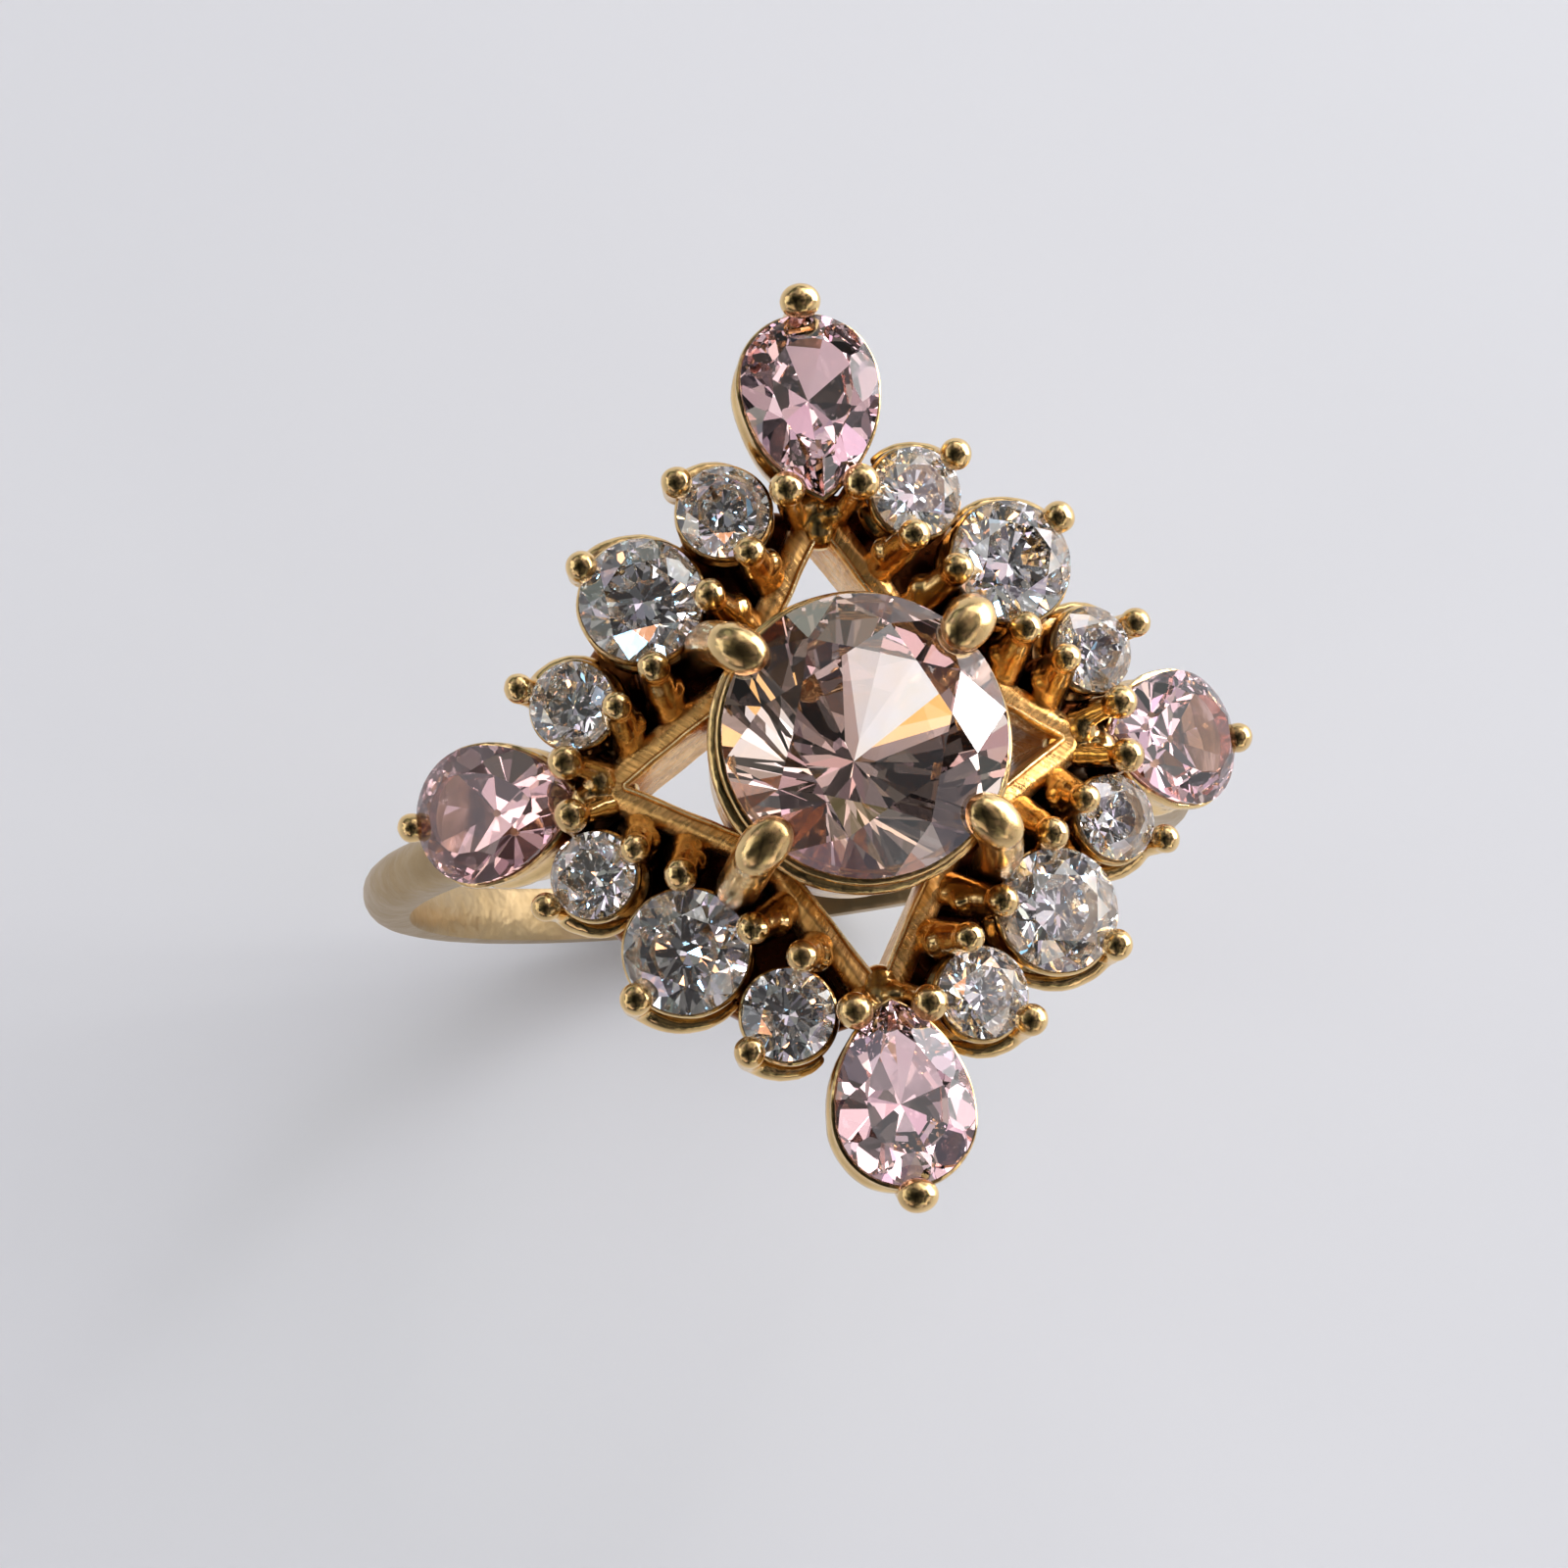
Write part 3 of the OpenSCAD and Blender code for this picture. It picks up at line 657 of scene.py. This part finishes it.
def band():
    section = half_round(BAND_W, BAND_T)
    loops = []
    for k in range(181):
        a = GAP + (360 - 2 * GAP) * k / 180
        end = min(a - GAP, 360 - GAP - a)
        swell = 1 + 0.06 * max(0.0, 1 - end / END_SWELL)
        thin = math.sqrt(1 - (1 - min(1.0, (end + 0.15) / END_ROUND)) ** 2)
        loop = []
        for u, v in section:
            r = BORE_R + 0.25 * (1 - thin) + u * thin
            loop.append(V((r * math.sin(rad(a)), v * swell * thin, r * math.cos(rad(a)))))
        loops.append(loop)
    bm = bmesh.new()
    rings(bm, loops)
    bmesh.ops.recalc_face_normals(bm, faces=bm.faces[:])
    return bm


def shoulder():
    bm = bmesh.new()
    tube(bm, [(6.72, 0, 6.25), (6.13, 0, 7.07), (6.12, 0, 7.8), (6.33, 0, 8.75)], [0.48, 0.66, 0.66, 0.85])
    tube(bm, [(6.2, 0, 8.7), (5.6, 0, 10.2), (5.15, 0, 11.2)], [0.78, 0.72, 0.66])
    return fuse(bm, 0.06, 4)


finish_piece(band(), "shank", BAND, ["shank"], sharp=50)
riser = shoulder()
for name, side in (("east", 1), ("west", -1)):
    finish_piece(riser, "shoulder_" + name, BAND, ["shoulder_" + name], (side, 1),
                 rough_cast=0.03)

# -------------------------------------------------------------- star frame
BAR_OFF, STAR_IN, BAR_H = 3.1, 4.9, 2.5
STAR_TIP, LEAN = 5.5, 18                             # outer end of a point, and how far the side points lean
ROOT_3, ROOT_3_PLUS_1 = 1.732, 2.732
CORNER_IN, CORNER_OUT = STAR_IN / ROOT_3_PLUS_1, 2 * BAR_OFF / ROOT_3_PLUS_1
# section of a bar as (share of its width from the inner edge, height over its top)
BAR_TOP = [(0.0, -0.12), (0.035, -0.035), (0.08, 0.02), (0.13, 0.025), (0.17, 0.0), (0.21, -0.05),
           (0.27, -0.045), (0.42, -0.01), (0.56, 0.0), (0.66, -0.02), (0.82, -0.07), (0.94, -0.13),
           (1.0, -0.22)]
BAR_SIDES = [(1.0, -0.8), (0.98, -1.6), (0.94, -BAR_H), (0.06, -BAR_H), (0.02, -1.6), (0.0, -0.8)]


def arm_rows(steps=18):
    """Rows across one bar, from the point to the seat: (inner edge, outer edge), s along and t across."""
    a0, a1 = V((STAR_IN, 0)), V((CORNER_IN * ROOT_3 * 0.58, CORNER_IN * 1.03))
    b0, b1 = V((STAR_TIP, 0.404)), V((CORNER_OUT, CORNER_OUT))
    rows = [(V((STAR_IN, 0)), V((STAR_TIP, 0)))]
    for k in range(steps + 1):
        f = k / steps
        rows.append((a0.lerp(a1, f) + V((-0.012, 0.008)), b0.lerp(b1, f)))
    return rows


def arm(bend):
    """One V of the star. bend maps (s, t, radius) to a point. The map runs along the bar and across it."""
    side = arm_rows()
    rows = [(a, b, 1) for a, b in side[::-1]] + [(a, b, -1) for a, b in side[1:]]
    bm = bmesh.new()
    uv = bm.loops.layers.uv.new("UVMap")
    loops, maps = [], []
    for i, (a, b, sgn) in enumerate(rows):
        section = [(a.lerp(b, f), h) for f, h in BAR_TOP + BAR_SIDES]
        loops.append([bend(p.x, p.y * sgn, STAR_R + h) for p, h in section])
        maps.append([(0.2 * i, f * 0.6) for f, h in BAR_TOP] + [(0.2 * i, 1 - h) for f, h in BAR_SIDES])
    where = {}
    for verts, points in zip(rings(bm, loops), maps):
        where.update(zip(verts, points))
    bmesh.ops.recalc_face_normals(bm, faces=bm.faces[:])
    for fc in bm.faces:
        for lp in fc.loops:
            lp[uv].uv = where[lp.vert]
    return bm


def bend_n(s, t, r):
    return V((t, s, math.sqrt(r * r - t * t)))


def bend_e(s, t, r):
    u = s - STAR_R * rad(LEAN)
    w = math.sqrt(r * r - u * u)
    c, d = math.cos(rad(LEAN)), math.sin(rad(LEAN))
    return V((u * c + w * d, t, w * c - u * d))


for name, bend, mirror in (("north", bend_n, (1, 1)), ("south", bend_n, (1, -1)),
                           ("east", bend_e, (1, 1)), ("west", bend_e, (-1, 1))):
    # the east arm takes the copy with painted shade on its walls
    metal = EAST_FRAME_SHADED if name == "east" else FRAME
    finish_piece(arm(bend), "star_arm_" + name, metal, ["star_arm_" + name], mirror,
                 sharp=42, rough_cast=0.035)

# ------------------------------------------------- centre seat, claws, stone
SEAT_IN, SEAT_FOOT = 2.6, -3.9
CULET_SHIFT = V((0.15, 0.36, 0))                     # the point below sits a little off centre


def seat():
    """Collar of two rails on a plain wall, turned under the centre stone."""
    r, hp = CENTRE_D / 2, PAVILION * CENTRE_D
    profile = [(r * (1 - 0.2 / hp), -0.2), (r + 0.03, -0.17), (r + 0.075, -0.2), (r + 0.1, -0.28),
               (r + 0.08, -0.37), (r + 0.02, -0.42), (r - 0.03, -0.46), (r - 0.045, -0.54),
               (r - 0.02, -0.62), (r + 0.08, -0.65), (r + 0.17, -0.68), (r + 0.215, -0.75),
               (r + 0.215, -0.84), (r + 0.16, -0.91), (r + 0.02, -0.95), (3.0, -1.05), (2.96, -2.2),
               (2.9, SEAT_FOOT), (SEAT_IN, SEAT_FOOT), (SEAT_IN, -hp * (1 - SEAT_IN / r))]
    bm = bmesh.new()
    lathe(bm, [(x, z + CENTRE.z) for x, z in profile], 128, lined=False)
    bmesh.ops.recalc_face_normals(bm, faces=bm.faces[:])
    return bm


def claw():
    """A thick finger with an egg-shaped end that leans over the stone."""
    bm = bmesh.new()
    tube(bm, [(2.85, 2.7, 11.0), (2.82, 2.68, 12.4), (2.82, 2.6, 13.9), (2.66, 2.34, 15.0),
              (2.42, 2.09, 15.55)], [0.42, 0.48, 0.49, 0.5, 0.5], n=22)
    egg = (Matrix.Translation((2.48, 2.13, 15.57)) @ Matrix.Rotation(rad(40.7), 4, "Z")
           @ Matrix.Rotation(rad(18), 4, "Y") @ Matrix.Diagonal((0.76, 0.54, 0.5, 1)))
    bmesh.ops.create_icosphere(bm, subdivisions=4, radius=1, matrix=egg)
    return fuse(bm, 0.045, 14)


def centre_stone():
    bm = round_stone(CENTRE_D, 96, turn=4, keel=0.13)
    for v in bm.verts:
        if v.co.z < 0:
            v.co += CULET_SHIFT * (v.co.z / (PAVILION * CENTRE_D))
    bm.transform(Matrix.Translation(CENTRE))
    return bm


finish_piece(seat(), "centre_seat", GOLD, ["centre_seat"], sharp=50, rough_cast=0.012)
finger = claw()
for q, mirror in QUARTERS.items():
    finish_piece(finger, "claw_" + q, SATIN, ["claw_" + q], mirror, rough_cast=0.015)
finish_piece(centre_stone(), "centre_stone", PINK, ["centre_stone"], flat=True)

# ------------------------------------------------------------ round clusters
for size, tag, spec, turn in (("large", "", LARGE, 7), ("small", "_a", SMALL_A, 15),
                              ("small", "_b", SMALL_B, 33)):
    cup = join(round_cup(spec), round_prongs(spec))
    for i, (q, mirror) in enumerate(QUARTERS.items()):
        name = f"{size}_cup{tag}_{q}"
        finish_piece(cup, name, GOLD, [name], mirror, rough_cast=0.025)
        stone = round_stone(spec["d"], 48, turn=turn + 11 * i)
        stone.transform(placed(spec["p"], spec["tilt"]))
        name = f"{size}_stone{tag}_{q}"
        finish_piece(stone, name, CLEAR, [name], mirror, flat=True)


# ------------------------------------------------------------ pear clusters
def pear_cup(depth, at):
    """Cup of two rails that follows the pear's outline, open below."""
    bm = bmesh.new()
    prof = [(-0.06, -0.1), (0.02, -0.09), (0.07, -0.12), (0.09, -0.2), (0.07, -0.29), (0.0, -0.36),
            (-0.04, -0.42), (-0.05, -0.9), (0.0, -1.0), (0.04, -1.08), (0.05, -1.25), (0.0, -1.36),
            (-0.1, -1.45), (-0.16, -depth), (-0.5, -depth), (-0.5, -0.55)]
    loops = []
    for grow, z in prof:
        loops.append([at @ V((p.x, p.y, z)) for p in pear_ring(grow, 56)])
    LINED.update(spot(p) for lp in (loops[0], loops[-1]) for p in lp)
    rings(bm, loops, wrap=True)
    bmesh.ops.remove_doubles(bm, verts=bm.verts[:], dist=1e-5)
    return bm


def north_prongs():
    bm = bmesh.new()
    tube(bm, [(0, 9.5, 12.7), (0, 9.66, 13.45), (0, 9.74, 14.2)], [0.24, 0.25, 0.28])
    ball(bm, (0, 9.75, 14.35), 0.41, (1.12, 0.95, 0.92))
    for s in (-1, 1):
        tube(bm, [(0.3 * s, 5.15, 12.4), (0.62 * s, 5.42, 13.3), (0.79 * s, 5.64, 14.1)], [0.3, 0.28, 0.28])
        ball(bm, (0.81 * s, 5.68, 14.27), 0.41, (1, 1, 0.92))
    tube(bm, [(0, 5.0, 12.7), (0, 5.45, 12.8), (0, 5.95, 12.5)], [0.46, 0.46, 0.4])
    for lump in ((0.25, 5.35, 13.05), (-0.27, 5.6, 13.0)):
        ball(bm, lump, 0.36)
    return fuse(bm)


def east_prongs():
    bm = bmesh.new()
    tube(bm, [(8.3, 0, 8.3), (8.95, 0, 8.5), (9.27, 0, 9.1)], [0.24, 0.24, 0.25])
    ball(bm, (9.25, 0, 9.28), 0.34)
    for s in (-1, 1):
        tube(bm, [(5.15, 0.36 * s, 11.75), (5.65, 0.5 * s, 12.1), (6.05, 0.58 * s, 12.4)], [0.27, 0.24, 0.24])
        tube(bm, [(5.7, 0.7 * s, 10.9), (6.0, 0.66 * s, 11.7), (6.11, 0.59 * s, 12.4)], [0.26, 0.24, 0.24])
        ball(bm, (6.11, 0.59 * s, 12.48), 0.39)
    tube(bm, [(4.9, 0, 11.5), (5.45, 0, 11.35), (6.0, 0, 10.9)], [0.46, 0.48, 0.42])
    for lump in ((5.3, 0.2, 11.75), (5.68, -0.2, 11.6)):
        ball(bm, lump, 0.38)
    return fuse(bm)


at_n = Matrix.Translation(PEAR_N)
at_e = (Matrix.Translation(PEAR_E) @ Matrix.Rotation(rad(PEAR_TILT), 4, "Y")
        @ Matrix.Rotation(rad(-90), 4, "Z"))
prongs = north_prongs()
cup_n = join(pear_cup(2.4, at_n), prongs)
prongs = east_prongs()
cup_e = join(pear_cup(2.3, at_e), prongs)
for name, cup, at, mirror in (("north", cup_n, at_n, (1, 1)), ("south", cup_n, at_n, (1, -1)),
                              ("east", cup_e, at_e, (1, 1)), ("west", cup_e, at_e, (-1, 1))):
    finish_piece(cup, "pear_cup_" + name, GOLD, ["pear_cup_" + name], mirror,
                 rough_cast=0.025)
    stone = pear_stone()
    stone.transform(at)
    tint = MAUVE if name == "west" else ROSE
    finish_piece(stone, "pear_stone_" + name, tint, ["pear_stone_" + name], mirror, flat=True)

# -------------------------------------------------------- gallery castings
# the hollow floor between the cups and the star, with a web under each tie
PLATE_EDGE = [(0.1, 5.25), (0.5, 5.7), (1.6, 5.9), (2.7, 5.35), (4.2, 4.25), (5.1, 3.1), (5.9, 2.0),
              (5.8, 1.0), (4.9, 0.15), (1.8, 1.95)]
PLATE_MIDDLE, PLATE_TOP = (3.0, 3.2), 11.65
# the plate's skin from its middle over the edge and back: (share of the way out, depth)
PLATE_SKIN = ((0.02, 0.0), (0.5, 0.0), (0.9, 0.02), (0.97, 0.07), (1.0, 0.16), (1.0, 0.44), (0.97, 0.54),
              (0.5, 0.6), (0.02, 0.6))


def on_plate(x, y, r):
    return V((x, y, math.sqrt(r * r - x * x)))


def gallery():
    edge = []
    for k, (x, y) in enumerate(PLATE_EDGE):
        nx, ny = PLATE_EDGE[(k + 1) % len(PLATE_EDGE)]
        edge += [(x + (nx - x) * f / 6, y + (ny - y) * f / 6) for f in range(6)]
    cx, cy = PLATE_MIDDLE
    loops = []
    for out, depth in PLATE_SKIN:
        loops.append([on_plate(cx + (x - cx) * out, cy + (y - cy) * out, PLATE_TOP - depth) for x, y in edge])
    bm = bmesh.new()
    rings(bm, loops)
    for spec in (LARGE, SMALL_A, SMALL_B):
        for tip in spec["ins"]:
            foot = tie_foot(tip)
            back = spec["p"].lerp(foot, 0.45)
            tube(bm, [V((foot.x, foot.y, foot.z - 0.75)), V((back.x, back.y, foot.z - 1.0))], [0.42, 0.34])
            tube(bm, [V((foot.x, foot.y, foot.z - 0.2)), V((foot.x, foot.y, foot.z - 1.1))], [0.33, 0.42])
    return fuse(bm, 0.055, 4)


plate = gallery()
# the gallery takes the darker gold copy, which is painted shade
for q, mirror in QUARTERS.items():
    finish_piece(plate, "gallery_" + q, SHADED_HOLLOW, ["gallery_" + q], mirror, rough_cast=0.03)

# ------------------------------------------------------------------- floor
floor_mat, nt, p = new_material("floor")
p.inputs["Roughness"].default_value = 0.7
mottle = noise_node(nt, millimetres(nt), 0.02, 4)
floor_colour = ramp(nt, mottle, [(0.3, (0.712, 0.738, 0.78)), (0.7, (0.748, 0.774, 0.816))])
nt.links.new(floor_colour, p.inputs["Base Color"])
bm = bmesh.new()
bmesh.ops.create_grid(bm, x_segments=2, y_segments=2, size=1.6)
me = bpy.data.meshes.new("floor")
bm.to_mesh(me)
me.materials.append(floor_mat)
floor = bpy.data.objects.new("floor", me)
floor.location.z = -BAND_R * MM
scene.collection.objects.link(floor)

# ------------------------------------------------------------------- light
HEAD_MIDDLE = (0, 0, 13)                             # millimetres
WINDOW = (0.90, 0.36, 0.26)                          # direction of the window
TIPPED = ("v_pear_stone_east", "v_small_stone_b_ne", "v_small_stone_b_se")   # these tables mirror the window


def area(name, direction, dist, size, radiance, colour=(1, 1, 1), around=HEAD_MIDDLE):
    """A rectangular light that faces a point of the ring from a direction, at a distance in metres."""
    d = bpy.data.lights.new(name, "AREA")
    d.shape = "RECTANGLE"
    d.size, d.size_y = size
    d.energy = radiance * math.pi * size[0] * size[1]
    d.color = colour
    o = bpy.data.objects.new(name, d)
    v = V(direction).normalized()
    o.location = v * dist + V(around) * MM
    o.rotation_euler = v.to_track_quat("Z", "Y").to_euler()
    scene.collection.objects.link(o)
    return o


def group(tag, want):
    """The pieces that a light falls on."""
    c = bpy.data.collections.new(tag)
    for o in scene.objects:
        if o.type == "MESH" and want(o.name):
            c.objects.link(o)
    return c


def is_band(n):
    return "shank" in n or "shoulder" in n


head_and_floor = group("metal_and_floor", lambda n: "stone" not in n and not is_band(n))
band_only = group("band", is_band)
gems = group("all_stones", lambda n: "stone" in n and n not in TIPPED)
tipped = group("tipped_stones", lambda n: n in TIPPED)
LIGHTS = (("window", WINDOW, 0.5, (0.5, 0.34), 9.0, (1.0, 0.985, 0.96), head_and_floor),
          ("band_window", WINDOW, 0.5, (0.5, 0.34), 3.4, (1.0, 0.99, 0.97), band_only),
          ("left_board", (-0.9, 0.25, 0.32), 0.6, (0.35, 0.25), 2.0, (0.96, 0.98, 1.0), head_and_floor),
          ("stone_window", WINDOW, 0.5, (0.42, 0.26), 3.2, (1, 1, 1), gems),
          ("east_window", WINDOW, 0.5, (0.42, 0.26), 1.4, (1, 1, 1), tipped))
for *light, falls_on in LIGHTS:
    area(*light).light_linking.receiver_collection = falls_on
bar_soft = area("bar_soft", (-0.5, -0.5, 0.85), 0.5, (0.5, 0.4), 0.8, (1.0, 0.97, 0.93))
bar_soft.light_linking.receiver_collection = group(
    "far_bars", lambda n: n in ("v_star_arm_west", "v_star_arm_south"))
area("top_soft", (0.45, 0.8, 0.5), 0.6, (0.3, 0.2), 2.6)


# cards that only the named pieces see, as the bright and dim patches of a lit room:
# direction round, angle off the vertical, width and depth in degrees, brightness
def cards(tag, names, rows, colour=(1, 1, 1), dist=0.5, around=HEAD_MIDDLE):
    seen = group(tag, lambda n: any(w in n for w in names))
    for k, (turn, off, wide, deep, shine) in enumerate(rows):
        a, b = rad(turn), rad(off)
        card = area(f"{tag}_{k}", (math.sin(b) * math.cos(a), math.sin(b) * math.sin(a), math.cos(b)), dist,
                    (rad(wide) * dist, rad(deep) * dist), shine, colour, around)
        card.visible_camera = False
        card.light_linking.receiver_collection = seen


SPARKS, GOLDEN_ANGLE = 48, 137.5
SHINE = (2.2, 6.0, 1.6, 10.0, 3.4, 14.0)
ROUNDS = ("large_stone", "small_stone")
OVERHEAD = (225, 12, 66, 66)                         # a wide card over the head, towards the camera
sparks = [((GOLDEN_ANGLE * k) % 360, 9 + 58 * math.sqrt((k + 0.5) / SPARKS), 3 + k % 3, 3 + (k // 3) % 3,
           SHINE[k % 6]) for k in range(SPARKS)]
for k, (tag, colour) in enumerate((("white_spark", (1, 1, 1)), ("warm_spark", (1.0, 0.45, 0.22)),
                                   ("blue_spark", (0.35, 0.7, 1.0)))):
    cards(tag, ROUNDS, sparks[k::3], colour)
cards("clear_veil", ROUNDS, [(*OVERHEAD, 0.035)], (1.0, 0.9, 0.88))
cards("east_veil", ("stone_ne", "stone_se", "stone_a_ne", "stone_a_se"), [(*OVERHEAD, 0.05)],
      (1.0, 0.92, 0.93))
cards("faint_veil", ("small_stone_a_nw", "small_stone_b_ne", "small_stone_b_se"), [(*OVERHEAD, 0.16)],
      (1.0, 0.97, 0.95))
cards("east_glint", ("star_arm_east",), [(11, 57, 15, 15, 3.0)], (1.0, 0.93, 0.8))
cards("grey_card", ("centre_stone",), [(292, 33, 12, 13, 1.5), (277, 31, 11, 13, 1.05)], (0.8, 1.0, 1.08))
cards("amber_card", ("centre_stone",), [(258, 36, 9, 11, 1.3)], (1.0, 0.75, 0.32))
cards("pale_card", ("centre_stone",), [(12, 79, 18, 14, 12), (330, 44, 8, 12, 1.6)], (1.0, 0.98, 0.97))
# what shows straight through the centre stone: pale ground and the gold of the band, below it
cards("under_card", ("centre_stone",),
      [(216, 152, 7, 9, 1.2), (231, 154, 6, 9, 1.05), (247, 152, 7, 9, 0.95), (276, 145, 9, 11, 0.75)],
      (0.5, 0.85, 1.0), dist=0.02, around=(0.6, 0.7, 13.2))
cards("under_amber", ("centre_stone",), [(188, 146, 13, 14, 1.5)],
      (1.0, 0.72, 0.25), dist=0.008, around=(0.9, 0.3, 13.2))
cards("pear_card", ("pear_stone",),
      [(262, 30, 8, 9, 2.2), (180, 34, 7, 9, 2.2), (120, 40, 8, 8, 2.0), (320, 38, 8, 8, 2.0)])
cards("west_card", ("pear_stone_west",),
      [(180, 60, 10, 10, 2.0), (205, 74, 12, 10, 1.8), (150, 70, 12, 9, 1.8), (172, 84, 14, 8, 1.6),
       (225, 55, 8, 8, 1.8)])
cards("west_veil", ("pear_stone_west",), [(171, 70, 44, 34, 1.15)], (0.95, 0.94, 1.0))
cards("north_veil", ("pear_stone_north",), [(46, 12, 26, 26, 0.55)], (1.0, 0.95, 0.96))
cards("south_veil", ("pear_stone_south",), [(46, 12, 26, 26, 1.1)], (1.0, 0.95, 0.98))
cards("south_card", ("pear_stone_south",),
      [(92, 30, 9, 9, 2.2), (60, 42, 9, 9, 2.2), (140, 28, 9, 9, 2.2), (5, 36, 9, 9, 2.2),
       (225, 40, 9, 9, 2.0)])


# ------------------------------------------------------------------- world
def towards(nt, vec, direction):
    """How nearly a view direction points one way, from -1 to 1."""
    dot = nt.nodes.new("ShaderNodeVectorMath")
    dot.operation = "DOT_PRODUCT"
    dot.inputs[1].default_value = V(direction).normalized()
    nt.links.new(vec, dot.inputs[0])
    return dot.outputs["Value"]


world = bpy.data.worlds.new("studio")
scene.world = world
world.use_nodes = True
nt = world.node_tree
nt.nodes.clear()
out = nt.nodes.new("ShaderNodeOutputWorld")
bg = nt.nodes.new("ShaderNodeBackground")
nt.links.new(bg.outputs[0], out.inputs[0])
view = nt.nodes.new("ShaderNodeTexCoord").outputs["Generated"]
calm = ramp(nt, towards(nt, view, (-0.139, -0.145, 0.98)),       # dark where the camera stands
            [(0.0, grey(0.85)), (0.35, grey(0.68)), (0.68, grey(0.34)), (0.88, grey(0.14)),
             (1.0, grey(0.03))])
cells = nt.nodes.new("ShaderNodeTexVoronoi")         # the room broken into panes and shadows
cells.inputs["Scale"].default_value = 4.6
turned = nt.nodes.new("ShaderNodeMapping")
turned.inputs["Rotation"].default_value = (0.4, 0.9, 1.7)
nt.links.new(view, turned.inputs["Vector"])
nt.links.new(turned.outputs[0], cells.inputs["Vector"])
post = ramp(nt, towards(nt, view, (0.84, 0.16, 0.5)),            # a dark post, which the east stones mirror
            [(0.93, grey(1)), (0.972, grey(0.15))])
calm = mix(nt, 1.0, calm, post, "MULTIPLY")
pick = nt.nodes.new("ShaderNodeSeparateColor")
nt.links.new(cells.outputs["Color"], pick.inputs[0])
pane = ramp(nt, pick.outputs[0], [(0.0, grey(0.05)), (0.36, grey(0.12)), (0.42, grey(0.8)), (0.68, grey(1.0)),
                                  (0.76, grey(2.2)), (1.0, grey(3.4))])
pane = mix(nt, 1.0, pane, (0.97, 0.985, 1.03), "MULTIPLY")
tinted = mix(nt, 0.22, pane, mix(nt, 1.0, pane, cells.outputs["Color"], "MULTIPLY"))
nt.links.new(mix(nt, 1.0, calm, tinted, "MULTIPLY"), bg.inputs["Color"])
bg.inputs["Strength"].default_value = 1.2

scene.view_settings.view_transform = "Standard"
scene.view_settings.look = "None"
scene.view_settings.exposure = 0.0
if hasattr(scene, "cycles"):
    scene.cycles.max_bounces = 14
    scene.cycles.transmission_bounces = 12
    scene.cycles.glossy_bounces = 10
    scene.cycles.use_denoising = True

bpy.context.view_layer.update()
